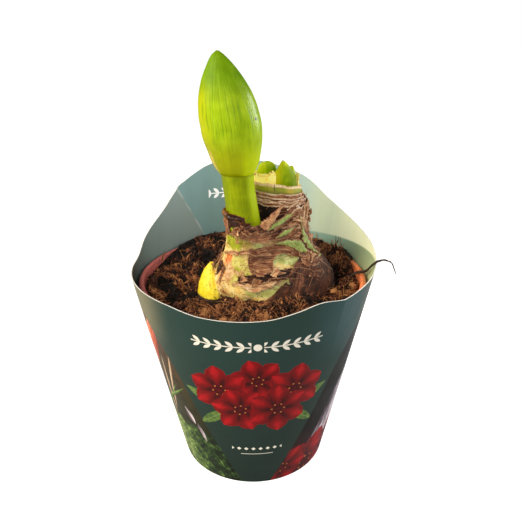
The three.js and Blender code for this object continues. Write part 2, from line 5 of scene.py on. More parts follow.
import bmesh
import bpy
import numpy as np
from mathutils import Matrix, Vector


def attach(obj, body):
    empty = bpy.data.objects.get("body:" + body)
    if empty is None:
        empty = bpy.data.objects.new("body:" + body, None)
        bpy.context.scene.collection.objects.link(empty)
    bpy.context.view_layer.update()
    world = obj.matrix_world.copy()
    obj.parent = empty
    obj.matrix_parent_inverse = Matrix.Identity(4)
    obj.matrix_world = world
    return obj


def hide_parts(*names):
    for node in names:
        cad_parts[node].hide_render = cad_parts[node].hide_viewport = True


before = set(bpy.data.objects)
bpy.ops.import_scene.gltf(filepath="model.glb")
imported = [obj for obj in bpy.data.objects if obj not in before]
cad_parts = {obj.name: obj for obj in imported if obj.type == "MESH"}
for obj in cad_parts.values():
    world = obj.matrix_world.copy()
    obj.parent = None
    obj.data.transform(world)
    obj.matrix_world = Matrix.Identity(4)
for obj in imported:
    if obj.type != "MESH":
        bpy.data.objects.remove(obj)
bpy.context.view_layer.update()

# Driving dimensions in millimetres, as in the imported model
MM = 0.001
MIDDLE = (0, 0)  # the axis of the pot and its sleeve
TAU = 2 * math.pi
POT = {"rim": 65, "lip": 3, "height": 115, "foot": 43.2, "wall": 1.5, "band": 17, "step": 4.6}
DRAIN = {"holes": 6, "radius": 4, "circle": 31}
SLEEVE = {"foot": 44.3, "slope": 0.2039, "thickness": 0.6, "creases": (131, 311), "lap": 143}
NECK = {"at": (12.5, 5), "cup": 16.5, "floor": 141}
BULB = {"at": (10, 6), "top": 150}
SCAPE = {"at": (-4.95, -15.4), "height": 160, "lean": -0.125, "radius": 7.8}
GAP = 0.35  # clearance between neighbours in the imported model
PAPER = 0.35  # thickness of a dry skin


# Smooth curves and noise


def ramp(x, low, high):
    """0 below low, 1 above high, smooth between."""
    t = np.clip((np.asarray(x, float) - low) / (high - low), 0, 1)
    return t * t * (3 - 2 * t)


def bump_at(x, middle, half):
    """1 at middle, 0 further than half away, smooth between."""
    return ramp(half - np.abs(np.asarray(x, float) - middle), 0, half)


def table(rows):
    """A smooth curve through rows of [key, value, ...], as a function that gives an array for each value."""
    rows = np.array(rows, float)
    keys, values = rows[:, 0], rows[:, 1:]
    last = len(keys) - 1
    after, before = np.minimum(np.arange(last + 1) + 1, last), np.maximum(np.arange(last + 1) - 1, 0)
    slopes = (values[after] - values[before]) / (keys[after] - keys[before])[:, None]

    def read(key):
        x = np.clip(np.asarray(key, float), keys[0], keys[-1])
        k = np.clip(np.searchsorted(keys, x, "right") - 1, 0, last - 1)
        step = (keys[k + 1] - keys[k])[..., None]
        t = (x - keys[k])[..., None] / step
        start = 2 * t**3 - 3 * t**2 + 1
        bend = (t**3 - 2 * t**2 + t) * slopes[k] + (t**3 - t**2) * slopes[k + 1]
        return np.moveaxis(start * values[k] + (1 - start) * values[k + 1] + bend * step, -1, 0)

    return read


def turn_table(rows):
    """The same round a full turn: rows of [degrees, value], read at an angle in radians."""
    first = rows[0][0]
    ends = [[rows[-1][0] - 360, rows[-1][1]], *rows, [first + 360, rows[0][1]], [rows[1][0] + 360, rows[1][1]]]
    read = table(ends)
    return lambda angle: read((np.degrees(angle) - first) % 360 + first)[0]


def full_turn(count):
    """Evenly spread angles, in radians."""
    return np.arange(count) / count * TAU


def signed_degrees(turn):
    """An angle in degrees, from -180 to 180."""
    return (np.degrees(turn) + 180) % 360 - 180


def lattice(corner, seed):
    """A repeatable random number from 0 to 1 for each lattice point."""
    mixed = corner[..., 0] * 73856093 ^ corner[..., 1] * 19349663 ^ corner[..., 2] * 83492791 ^ seed * 97531
    mixed = ((mixed ^ (mixed >> 13)) * 1274126177) & 0xFFFFFFFF
    mixed = ((mixed ^ (mixed >> 15)) * 2246822519) & 0xFFFFFFFF
    return ((mixed ^ (mixed >> 13)) & 0xFFFFFF) / 0xFFFFFF


def noise(points, size, seed=0):
    """Smooth noise from -1 to 1 with lumps of a size."""
    p = np.asarray(points, float) / size
    base = np.floor(p).astype(np.int64)
    f = p - base
    f = f * f * (3 - 2 * f)
    total = np.zeros(p.shape[:-1])
    for corner in itertools.product((0, 1), repeat=3):
        share = np.prod(np.where(corner, f, 1 - f), axis=-1)
        total += share * lattice(base + np.array(corner), seed)
    return 2 * total - 1


def fractal(points, size, octaves=4, seed=0, gain=0.55):
    """Noise with finer noise on it."""
    return sum(gain**k * noise(points, size / 2**k, seed + k) for k in range(octaves))


def fray(along, size, seed, octaves=4):
    """The same along a line."""
    along = np.asarray(along, float)
    return fractal(np.stack([along, 0 * along + 0.5, 0 * along + 0.5], -1), size, octaves, seed, 0.7)


def cells(points, size, seed=0):
    """Distance to the nearest of scattered centres about a size apart, in sizes."""
    p = np.asarray(points, float) / size
    base = np.floor(p).astype(np.int64)
    best = np.full(p.shape[:-1], 9.0)
    for step in itertools.product((-1, 0, 1), repeat=3):
        corner = base + np.array(step)
        centre = corner + np.stack([lattice(corner, seed + k) for k in range(3)], -1)
        best = np.minimum(best, np.linalg.norm(p - centre, axis=-1))
    return best


def ground_noise(x, y, seed):
    """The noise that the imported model's soil is made of."""

    def corner(i, j):
        h = np.sin(i * 127.1 + j * 311.7 + seed * 74.7) * 43758.5453
        return 2 * (h - np.floor(h)) - 1

    i, j = np.floor(x), np.floor(y)
    u, v = ramp(x - i, 0, 1), ramp(y - j, 0, 1)
    low = corner(i, j) * (1 - u) + corner(i + 1, j) * u
    high = corner(i, j + 1) * (1 - u) + corner(i + 1, j + 1) * u
    return low * (1 - v) + high * v


# Meshes


def stack(*axes):
    """Points from their x, y and z, spread over one grid."""
    return np.stack(np.broadcast_arrays(*axes), -1).astype(float)


def unit(vectors):
    return vectors / np.linalg.norm(vectors, axis=1)[:, None]


def around(centre, radius, turn, z, flat=1.0):
    """Points at a radius and turn about an upright axis. flat squeezes them from front to back."""
    return stack(centre[0] + radius * np.cos(turn), centre[1] + flat * radius * np.sin(turn), z)


def grid_faces(index, closed):
    """Quads over a grid of point numbers, closed round its columns or not."""
    ahead = np.roll(index, -1, 1) if closed else index[:, 1:]
    here = index if closed else index[:, :-1]
    return np.stack([here[:-1], ahead[:-1], ahead[1:], here[1:]], -1).reshape(-1, 4)


class Body:
    """Closed surfaces gathered into one piece. Points are in millimetres. Each keeps the named numbers that come
    with it, which the materials read."""

    def __init__(self):
        self.names, self.rows, self.faces, self.slots, self.count = [], [], [], [], 0

    def add(self, points, values, *blocks):
        """blocks are pairs of faces and a material number."""
        self.names = list(values)
        spread = [np.broadcast_to(value, points.shape[:-1])[..., None] for value in values.values()]
        rows = np.concatenate([points, *spread], -1).reshape(-1, 3 + len(values))
        for faces, slot in blocks:
            self.faces += (faces + self.count).tolist()
            self.slots += [slot] * len(faces)
        self.rows.append(rows)
        self.count += len(rows)

    def round(self, points, **values):
        """Rings stacked in rows, shut at both ends."""
        rows, columns = points.shape[:2]
        index = np.arange(rows * columns).reshape(rows, columns)
        blocks = [(grid_faces(index, True), 0)]
        for k, ring in enumerate(index[[0, -1]]):
            blocks.append((np.stack([ring, np.roll(ring, -1), np.full(columns, index.size + k)], -1), 0))
        self.add(points, values, *blocks)
        ends = self.rows[-1].reshape(rows, columns, -1)[[0, -1]].mean(1)
        self.rows.append(ends)
        self.count += len(ends)

    def wall(self, outer, inner, closed=False, slots=(0, 0), **values):
        """A thin wall between two sheets of points. slots are the material numbers of its edge and inside."""
        index = np.arange(outer.size // 3).reshape(outer.shape[:2])
        faces = grid_faces(index, closed)
        blocks = [(faces, 0), (faces + index.size, slots[1])]
        lines = [(index[0], closed), (index[-1], closed)]
        if not closed:
            lines += [(index[:, 0], False), (index[:, -1], False)]
        for line, shut in lines:
            blocks.append((grid_faces(np.stack([line, line + index.size]), shut), slots[0]))
        self.add(np.stack([outer, inner]), values, *blocks)

    def tube(self, path, radius, sides, **values):
        """A strand along a path, with a radius at each of its points."""
        ahead = unit(np.gradient(path, axis=0))
        side = np.cross(ahead[0], (0.31, 0.17, 0.93))
        first = []
        for direction in ahead:
            side = side - side.dot(direction) * direction
            side /= np.linalg.norm(side)
            first.append(side)
        second = np.cross(ahead, first)
        turn = full_turn(sides)[None, :, None]
        spread = np.cos(turn) * np.array(first)[:, None] + np.sin(turn) * second[:, None]
        rings = path[:, None] + np.broadcast_to(radius, len(path))[:, None, None] * spread
        self.round(rings, **{k: np.broadcast_to(v, len(path))[:, None] for k, v in values.items()})

    def lumps(self, centres, sizes, seed, fine, **values):
        """A rough lump at each centre. sizes holds a width, length and height for each."""
        ball = bmesh.new()
        bmesh.ops.create_icosphere(ball, subdivisions=2 if fine else 1, radius=0.5)
        points = np.array([v.co for v in ball.verts])
        faces = np.array([[v.index for v in f.verts] for f in ball.faces])
        ball.free()
        random = np.random.default_rng(seed)
        count = len(centres)
        turns = np.linalg.qr(random.normal(size=(count, 3, 3)))[0]
        shape = points * sizes[:, None]
        shape = shape * (1 + 0.38 * noise(shape + 17.0 * random.normal(size=(count, 1, 3)), 0.7, seed))[..., None]
        shape = np.einsum("nij,nkj->nki", turns, shape) + centres[:, None]
        faces = faces + (np.arange(count) * len(points))[:, None, None]
        self.add(shape, {key: value[:, None] for key, value in values.items()}, (faces.reshape(-1, 3), 0))

    def mesh(self, name, sharp):
        """The Blender mesh, its faces turned out, smooth up to an angle."""
        mesh = bpy.data.meshes.new(name)
        rows = np.concatenate(self.rows)
        mesh.from_pydata(rows[:, :3] * MM, [], self.faces)
        mesh.polygons.foreach_set("material_index", self.slots)
        work = bmesh.new()
        work.from_mesh(mesh)
        bmesh.ops.recalc_face_normals(work, faces=work.faces)
        work.to_mesh(mesh)
        work.free()
        for key, column in zip(self.names, rows.T[3:]):
            mesh.attributes.new(key, "FLOAT", "POINT").data.foreach_set("value", column.astype(np.float32))
        mesh.shade_smooth()
        mesh.set_sharp_from_angle(angle=math.radians(sharp))
        return mesh


def piece(name, body, materials, slot, *nodes, sharp=60):
    """Makes a piece of a body, which rides on the root and stands for some nodes."""
    made = bpy.data.objects.new(name, body.mesh(name, sharp))
    bpy.context.scene.collection.objects.link(made)
    for material in materials:
        made.data.materials.append(material)
    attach(made, "root")
    if nodes:
        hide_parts(*nodes)
    return made


# Materials


def linear(code):
    """The scene colour of an sRGB code such as #80ff00."""
    parts = [int(code[i : i + 2], 16) / 255 for i in (1, 3, 5)]
    return (*[p / 12.92 if p <= 0.04045 else ((p + 0.055) / 1.055) ** 2.4 for p in parts], 1)


def term(operation, swapped=False):
    """The method of a Signal that makes a math node of it and another term."""

    def method(self, other):
        return self.paint.math(operation, *((other, self) if swapped else (self, other)))

    return method


class Signal:
    """A number or colour inside a material. Sums with it become math nodes."""

    def __init__(self, paint, socket):
        self.paint, self.socket = paint, socket

    __add__ = __radd__ = term("ADD")
    __sub__, __rsub__ = term("SUBTRACT"), term("SUBTRACT", True)
    __mul__ = __rmul__ = term("MULTIPLY")
    __truediv__, __pow__, __mod__ = term("DIVIDE"), term("POWER"), term("FLOORED_MODULO")

    def __abs__(self):
        return self.paint.math("ABSOLUTE", self)

    def rise(self, low, high):
        """0 below low, 1 above high, smooth between. With low above high it falls."""
        limits = {"Value": self, "From Min": low, "From Max": high}
        return self.paint.node("ShaderNodeMapRange", "Result", limits, interpolation_type="SMOOTHSTEP")


class Paint:
    """A procedural material. Places in it are in millimetres. soft is the share of the light that goes under
    its surface, and how far red, green and blue go there."""

    def __init__(self, name, soft=None, **constants):
        self.material = bpy.data.materials.new(name)
        self.material.use_nodes = True
        self.tree = self.material.node_tree
        self.shader = self.tree.nodes["Principled BSDF"]
        if soft:
            self.set(Subsurface_Weight=soft[0], Subsurface_Radius=soft[1:], Subsurface_Scale=MM)
        self.set(**constants)
        place = self.node("ShaderNodeTexCoord", "Object")
        self.place = self.node("ShaderNodeVectorMath", 0, {0: place, "Scale": 1 / MM}, operation="SCALE")
        apart = self.tree.nodes.new("ShaderNodeSeparateXYZ")
        self.feed(apart.inputs[0], self.place)
        self.x, self.y, self.z = [Signal(self, socket) for socket in apart.outputs]

    def set(self, **values):
        """Sets the shader's inputs, each named by its label with _ for a space."""
        for key, value in values.items():
            self.feed(self.shader.inputs[key.replace("_", " ")], value)

    def feed(self, socket, value):
        if isinstance(value, Signal):
            self.tree.links.new(value.socket, socket)
        else:
            socket.default_value = linear(value) if isinstance(value, str) else value

    def node(self, kind, output, inputs=None, **settings):
        made = self.tree.nodes.new(kind)
        for key, value in settings.items():
            setattr(made, key, value)
        for key, value in (inputs or {}).items():
            self.feed(made.inputs[key], value)
        return Signal(self, made.outputs[output])

    def math(self, operation, *terms):
        return self.node("ShaderNodeMath", 0, dict(enumerate(terms)), operation=operation)

    def values(self, names):
        """Numbers that the mesh keeps at each point."""
        return [self.node("ShaderNodeAttribute", "Fac", attribute_name=name) for name in names.split()]

    def vector(self, x, y, z=0.0):
        return self.node("ShaderNodeCombineXYZ", 0, {0: x, 1: y, 2: z})

    def noise(self, size, detail=3.0, roughness=0.55, at=None):
        """Noise about 0.5 with lumps of a size in millimetres."""
        inputs = {"Vector": at or self.place, "Scale": 1 / size, "Detail": detail, "Roughness": roughness}
        return self.node("ShaderNodeTexNoise", 0, inputs)

    def streaks(self, u, v, w=0.0, detail=3.0, roughness=0.6):
        """Noise at a place given by its three coordinates, in sizes of a lump."""
        return self.noise(1.0, detail, roughness, self.vector(u, v, w))

    def cells(self, size):
        return self.node("ShaderNodeTexVoronoi", "Distance", {"Vector": self.place, "Scale": 1 / size})

    def mix(self, first, second, share, kind="MIX"):
        return self.node("ShaderNodeMix", 2, {0: share, 6: first, 7: second}, data_type="RGBA", blend_type=kind)

    def stops(self, signal, stops):
        """A colour by a number, with stops such as "0 #000000, 50 #00ff00, 100 #ffffff" at hundredths of it."""
        made = self.node("ShaderNodeValToRGB", 0, {0: signal})
        scale = made.socket.node.color_ramp
        stops = [stop.split() for stop in stops.split(", ")]
        while len(scale.elements) < len(stops):
            scale.elements.new(0.5)
        for element, (at, code) in zip(scale.elements, stops):
            element.position, element.color = float(at) / 100, linear(code)
        return made

    def over(self, colour, share=None, kind="MIX"):
        """Lays a colour over what the material has so far."""
        self.base = colour if share is None else self.mix(self.base, colour, share, kind)

    def done(self, rough, height, **more):
        """The finished material, from its roughness and the height of its relief in millimetres."""
        relief = self.node("ShaderNodeBump", 0, {"Height": height, "Distance": MM, "Strength": 1.0})
        self.set(Base_Color=self.base, Roughness=rough, Normal=relief, **more)
        return self.material


# Camera, light and floor

EYE = Vector((5.4, -288, 241.6)) * MM
LOOK_AT = Vector((5.4, 0, 121.7)) * MM
LENS, SENSOR = 37.1, 36
AMBIENT = 0.38  # strength of the light from all round


def area_light(name, place, size, power, colour, target=(0, 0, 0.12)):
    light = bpy.data.lights.new(name, "AREA")
    light.shape, light.size, light.energy, light.color = "DISK", size, power, linear(colour)[:3]
    lamp = bpy.data.objects.new(name, light)
    lamp.location = place
    lamp.rotation_euler = (Vector(target) - Vector(place)).to_track_quat("-Z", "Y").to_euler()
    bpy.context.scene.collection.objects.link(lamp)


def by_ray(tree, seen, lit, mirrored):
    """One number for what the camera sees, one for the light that falls on things, one for what they mirror."""
    sight = tree.nodes.new("ShaderNodeLightPath")
    total = None
    for output, value in (("Is Camera Ray", seen), ("Is Diffuse Ray", lit), ("Is Glossy Ray", mirrored)):
        step = tree.nodes.new("ShaderNodeMath")
        step.operation = "MULTIPLY_ADD"
        step.inputs[1].default_value, step.inputs[2].default_value = value, 0
        tree.links.new(sight.outputs[output], step.inputs[0])
        if total:
            tree.links.new(total, step.inputs[2])
        total = step.outputs[0]
    return total


def set_stage():
    scene = bpy.context.scene
    scene.view_settings.view_transform = "Standard"
    camera = bpy.data.objects.new("camera", bpy.data.cameras.new("camera"))
    camera.data.lens, camera.data.sensor_width = LENS, SENSOR
    camera.data.clip_start = 0.01
    camera.location = EYE
    camera.rotation_euler = (LOOK_AT - EYE).to_track_quat("-Z", "Y").to_euler()
    scene.collection.objects.link(camera)
    scene.camera = camera

    area_light("key", (-1.0, -0.5, 0.85), 1.1, 25, "#fff3dc")
    area_light("front", (0.2, -1.0, 0.6), 0.7, 3, "#ffffff")
    area_light("right", (0.85, 0.22, 0.36), 0.5, 6, "#f7fbff")
    world = scene.world or bpy.data.worlds.new("world")
    scene.world = world
    world.use_nodes = True
    world.node_tree.nodes["Background"].inputs["Color"].default_value = linear("#ffffff")
    strength = by_ray(world.node_tree, 1.0, AMBIENT, 0.08)
    world.node_tree.links.new(strength, world.node_tree.nodes["Background"].inputs["Strength"])

    floor = bpy.data.meshes.new("floor")
    half = 12.0
    floor.from_pydata([(-half, -half, 0), (half, -half, 0), (half, half, 0), (-half, half, 0)], [], [(0, 1, 2, 3)])
    shown = bpy.data.objects.new("floor", floor)
    scene.collection.objects.link(shown)
    pale = Paint("floor_pale", Roughness=0.9, Emission_Color="#ffffff")
    pale.set(Base_Color=pale.stops(pale.noise(400), "30 #c2c2c0, 70 #c4c4c3"))
    pale.tree.links.new(by_ray(pale.tree, 0.85, 0.12, 0.0), pale.shader.inputs["Emission Strength"])
    floor.materials.append(pale.material)


# Pot


def terracotta():
    """Moulded plastic of the colour of fired clay, with scuffs and dry soil near the rim, and painted light: a
    pinkish tint on its shaded left and bright orange on its sunlit right.
    """
    p = Paint("terracotta_plastic", Specular_IOR_Level=0.45)
    mottle = p.noise(6, 4)
    p.over(p.stops(mottle, "30 #a5492f, 70 #bd5a3a"))
    dust = p.noise(1.6, 5, 0.7).rise(0.5, 0.68) * p.z.rise(96, 113)
    # Painted light: a pinkish tint on the left, where the rim is in shade, and bright orange on the right, where
    # it is sunlit.
    p.over("#c96a66", p.x.rise(-30, -50) * 0.8)
    p.over("#ff8f57", p.x.rise(38, 56))
    p.over("#4f2d1d", dust * 0.6)
    return p.done(p.noise(2.5, 3).rise(0.2, 0.8) * 0.2 + 0.42, p.noise(0.6, 2) * 0.03 + p.noise(5, 2) * 0.1)


def make_pot():
    rim, foot, top, wall = POT["rim"], POT["foot"], POT["height"], POT["wall"]
    band = top - POT["band"]
    profile = [
        [foot - 0.8, 0], [foot - 0.2, 0.2], [foot, 0.8],
        [rim - POT["step"], band - 2.4], [rim - 2.6, band - 0.9], [rim - 2.2, band],
        [rim, top - 2.2], [rim, top - 1.1], [rim - 0.4, top - 0.4], [rim - 1.1, top],
        [rim - POT["lip"] + 0.8, top], [rim - POT["lip"] + 0.2, top - 0.3], [rim - POT["lip"], top - 0.8],
        [rim - POT["lip"] - 1, band + 1.6], [rim - POT["step"] - wall, band - 1.2],
        [foot - wall + 0.2, wall + 1.1], [foot - wall - 1.2, wall],
    ]
    turn = full_turn(180)
    radius, height = np.array(profile).T[..., None]
    body = Body()
    body.round(around(MIDDLE, radius, turn, height))
    pot = piece("pot_shell", body, [terracotta()], "terracotta_plastic", "pot", sharp=35)
    drains = Body()
    ring = full_turn(32)
    for hole in range(DRAIN["holes"]):
        angle = (hole + 0.5) / DRAIN["holes"] * TAU
        centre = DRAIN["circle"] * math.cos(angle), DRAIN["circle"] * math.sin(angle)
        drains.round(around(centre, DRAIN["radius"], ring, np.array([[-5], [6]])))
    cutter = bpy.data.objects.new("drains", drains.mesh("drains", 30))
    bpy.context.scene.collection.objects.link(cutter)
    cut = pot.modifiers.new("drains", "BOOLEAN")
    cut.operation, cut.object, cut.solver = "DIFFERENCE", cutter, "EXACT"
    apply_modifiers(pot)
    bpy.data.objects.remove(cutter)


def apply_modifiers(made):
    """Puts what the modifiers do into the mesh."""
    graph = bpy.context.evaluated_depsgraph_get()
    graph.update()
    done = bpy.data.meshes.new_from_object(made.evaluated_get(graph))
    made.modifiers.clear()
    made.data = done


# Card sleeve

# Height of the card's top edge by turn
SLEEVE_TOP = turn_table([
    [-176, 121], [-150, 121.8], [-126, 122.2], [-110, 120.1], [-84, 120.5], [-72, 123.2], [-61, 125.9],
    [-49, 124], [-33, 124], [-14, 125.6], [8, 129.8], [29, 135.8], [47, 144.3], [63, 156], [82, 163],
    [98, 165.4], [113, 162.9], [129, 153], [131, 151.4], [133, 149], [144, 138.9], [161, 128.6], [172, 121.8],
])
FRONT_TURN, BACK_TURN = -87, 93  # middles of the two dark panels, in degrees
PANEL_FOOT, PANEL_SLOPE = 8, 0.5  # half width of a panel at the foot, and its growth with height
CREAM = "#e4ded2"


def turned(s, t, degrees):
    """Plane coordinates seen from axes that are turned by an angle."""
    c, k = math.cos(math.radians(degrees)), math.sin(math.radians(degrees))
    return s * c + t * k, t * c - s * k


def leaf_shape(s, t, length, width):
    """1 inside a pointed leaf on the origin, along s."""
    edge = (1 - s * s / (length / 2) ** 2) * (width / 2)
    return (edge - abs(t)).rise(-0.1, 0.1)


def highest(paint, *signals):
    top = signals[0]
    for signal in signals[1:]:
        top = paint.math("MAXIMUM", top, signal)
    return top


def sprig(paint, s, t, half):
    """A laurel sprig along s: a stem with pairs of leaves either side of a small rosette."""
    pitch = 5.6
    away = abs(s)
    along, across = turned(away % pitch - pitch / 2, abs(t) - 1.75, 36)
    leaves = leaf_shape(along, across, 4.9, 1.9)
    stem = (0.32 - abs(t)).rise(-0.1, 0.1)
    rosette = (2.1 - paint.math("SQRT", s * s + t * t)).rise(-0.1, 0.1)
    body = highest(paint, leaves, stem) * away.rise(half + 0.1, half - 0.1) * away.rise(3, 3.2)
    return highest(paint, body, rosette)


def petals(paint, s, t, size, phase):
    """Three broad pointed petals about the origin: (1 inside them, their shade)."""
    radius = paint.math("SQRT", s * s + t * t)
    angle = paint.math("ARCTAN2", t, s) + phase
    part = TAU / 3
    angle = angle % part - part / 2
    u = radius * paint.math("COSINE", angle) / size
    v = abs(radius * paint.math("SINE", angle)) / size
    edge = (u ** 1.1) * (1 - u ** 2.4) * 0.86 * u.rise(-0.01, 0.01)
    edge = edge * (paint.noise(2.2, 2) * 0.5 + 0.78)
    inside = (edge - v).rise(-0.006, 0.006)
    streak = (v / (edge + 0.02)).rise(0.75, 0.0)
    shade = u.rise(0.0, 0.8) * 0.55 + streak * 0.28 + (edge - v).rise(0.05, 0.0) * 0.16
    return inside, shade + paint.noise(2.5, 3) * 0.3 - 0.12


def blossom(paint, under, s, t, size, tilt):
    """Paints a stylised six-petalled red blossom over a colour."""
    for phase in (tilt, tilt + TAU / 6):
        inside, shade = petals(paint, s, t, size, phase)
        red = paint.stops(shade, "0 #120102, 30 #430306, 65 #7a050b, 100 #c01019")
        under = paint.mix(under, red, inside)
    radius = paint.math("SQRT", s * s + t * t)
    part = TAU / 6
    angle = (paint.math("ARCTAN2", t, s) + tilt) % part - part / 2
    off_s, off_t = radius * paint.math("COSINE", angle) - size * 0.2, radius * paint.math("SINE", angle)
    anthers = (size * 0.032 - paint.math("SQRT", off_s * off_s + off_t * off_t)).rise(-0.1, 0.1)
    return paint.mix(under, "#c4703c", anthers * 0.8)


def sleeve_place(paint):
    """Turn in degrees, and the radius of the sleeve's cone."""
    turn = paint.math("ARCTAN2", paint.y, paint.x) * (360 / TAU)
    return turn, paint.z * SLEEVE["slope"] + SLEEVE["foot"]


def off_turn(turn, middle):
    """Turn from a middle direction, from -180 to 180 degrees."""
    return (turn - (middle - 180)) % 360 - 180


def panel_print(paint, s, t):
    """The dark panel with its ornament: s across it, t up from the foot."""
    base = paint.stops(t / 120 + paint.noise(30, 2) * 0.3, "20 #1a2b27, 60 #1e312c, 100 #243b37")
    leaf_green = paint.stops(paint.noise(3, 3), "35 #3c5a2c, 70 #6d8440")
    for side_s, tilt in ((-30, 160), (30, 20), (-24, 222), (24, -42)):
        along, across = turned(s - side_s, t - (62 + 14 * math.sin(math.radians(tilt))), tilt)
        leaf = leaf_shape(along, across, 22, 6.5)
        vein = (abs(across) - 0.22).rise(0.1, -0.1) * 0.5
        base = paint.mix(base, paint.mix(leaf_green, "#8ea35c", vein), leaf)
    flowers = ((0, 82, 15, 0.2), (-20, 74, 17, 0.35), (20, 74, 17, 0.72), (-9, 61, 16, 0.1), (11, 61, 17, 0.52))
    for at_s, at_t, size, tilt in flowers:
        base = blossom(paint, base, s - at_s, t - at_t, size, tilt)
    cream = sprig(paint, s, t - 104.5 - s * s * 0.0008, 34)
    row = abs(s % 4 - 2) + abs(t - 30)
    diamonds = (1.25 - row).rise(-0.1, 0.1) * abs(s).rise(14.1, 13.9)
    rule = (abs(t - 25.6) - 0.2).rise(0.1, -0.1) * abs(s).rise(9.1, 8.9)
    return paint.mix(base, CREAM, highest(paint, cream, diamonds, rule))


def blades(paint, s, t, size, lean):
    """A number that streaks like blades of grass."""
    u, v = turned(s, t, lean)
    return paint.streaks(u / (size * 7), v / size)


def side_print(paint, t, stops_by_height):
    """A blurred dark ground with colours by height."""
    wave = (paint.noise(22, 2) - 0.5) * 30
    ground = paint.stops((t + wave) / 130, stops_by_height)
    return paint.mix(ground, "#0a0b08", paint.noise(6, 4, 0.7).rise(0.52, 0.3) * 0.7)


def foliage(paint, under, s, t, top):
    """Paints a hedge of small leaves, light on dark, below a height."""
    sprays = blades(paint, s, t, 1.3, 72) * 0.3 + blades(paint, s, t, 1.6, 140) * 0.2
    sprays = sprays + paint.noise(5, 4, 0.7) * 0.55
    sprays = sprays - s.rise(-34, -56) * 0.07 + s.rise(-44, -22) * 0.09
    greens = paint.stops(sprays, "40 #0b1209, 50 #22371a, 58 #4f6b30, 68 #98ab62")
    return paint.mix(under, greens, (t + (paint.noise(9, 3) - 0.5) * 26).rise(top + 2, top - 2))


def long_leaf(paint, under, s, t, place, tilt, size, stops_across):
    """Paints a long pointed leaf with streaks over a colour."""
    along, across = turned(s - place[0], t - place[1], tilt)
    shape = leaf_shape(along, across, *size)
    streak = paint.streaks(along / 14, across / 1.1, tilt)
    return paint.mix(under, paint.stops(streak + across / (size[1] * 2.5), stops_across), shape)


MAUVE = "34 #251820, 48 #7d6c75, 62 #dccfd5"
CORAL = "30 #8c2a16, 50 #c9512f, 70 #ec9870"
FRESH = "20 #1f3311, 50 #4c6a26, 80 #9fb869"
STRAW = "20 #6a4a34, 50 #b99a7c, 80 #e6d3bd"


def card_outside():
    """The printed face: a dark panel in front and behind, garden pictures between, and painted reflections laid
    into the panel's colour near its edges.
    """
    p = Paint("sleeve_outside", Specular_IOR_Level=0.12)
    turn, radius = sleeve_place(p)
    front, right = off_turn(turn, FRONT_TURN), off_turn(turn, FRONT_TURN + 90)
    nearest = abs(front).rise(89.9, 90.1)
    turn_in = front + nearest * (off_turn(turn, BACK_TURN) - front)
    s = turn_in * radius * (TAU / 360)
    t = p.z
    half = t * PANEL_SLOPE + PANEL_FOOT + p.math("MAXIMUM", t - 70, 0.0) ** 2.0 * 0.012
    in_panel = (half - abs(s)).rise(-0.12, 0.12)
    side_s = (abs(right).rise(89.9, 90.1) * -180 + abs(right)) * radius * (TAU / 360)
    right_side = side_print(p, t, "0 #2c060a, 20 #240609, 30 #0c090a, 72 #0b0a0a, 80 #31271f, 95 #6d5f4d")
    for place, tilt, size in (((31.5, 38), 99, (58, 19)), ((40, 26), 106, (30, 10))):
        right_side = long_leaf(p, right_side, side_s, t, place, tilt, size, MAUVE)
    for at_s, at_t, size, tilt in ((40, 6, 24, 0.3), (17, 12, 21, 0.8), (58, 10, 16, 0.1)):
        right_side = blossom(p, right_side, side_s - at_s, t - at_t, size, tilt)
    left_side = side_print(p, t, "0 #0d110a, 30 #20240f, 50 #383019, 62 #45351f, 74 #54301f, 90 #a89878")
    left_side = foliage(p, left_side, side_s, t, 36)
    for place, tilt, size, shades in (
        ((-24, 84), -60, (54, 15), CORAL), ((-14, 74), -66, (44, 9), CORAL), ((-37, 66), -70, (52, 2), STRAW),
        ((-29, 58), -78, (50, 2.4), STRAW), ((-20, 60), -74, (56, 2.2), STRAW), ((-24, 46), -50, (50, 1.8), FRESH),
        ((-32, 54), -38, (40, 1.6), FRESH), ((-18, 40), -62, (40, 2), FRESH), ((-43, 45), 70, (12, 5), MAUVE),
        ((-48, 35), 82, (13, 3), MAUVE),
    ):
        left_side = long_leaf(p, left_side, side_s, t, place, tilt, size, shades)
    panel = panel_print(p, s, t)
    # Painted reflections: teal, grey and brown tints laid into the panel's colour near its edges.
    for code, left, right_end, up, share in (
        ("#3b5c60", (22, 50), (86, 60), (78, 112), 0.45), ("#5a5648", (56, 88), (112, 98), (60, 96), 0.7),
        ("#7c7658", (-46, -72), (-98, -82), (84, 106), 0.75),
    ):
        painted_sheen = s.rise(*left) * s.rise(*right_end) * t.rise(*up) * share
        panel = p.mix(panel, code, painted_sheen * (1 - nearest))
    p.over(p.mix(right_side, left_side, abs(right).rise(89.9, 90.1)))
    p.over(panel, in_panel)
    return p.done(p.noise(20, 3).rise(0.2, 0.8) * 0.12 + 0.3, p.noise(14, 3) * 0.12 + p.noise(0.5, 2) * 0.01)


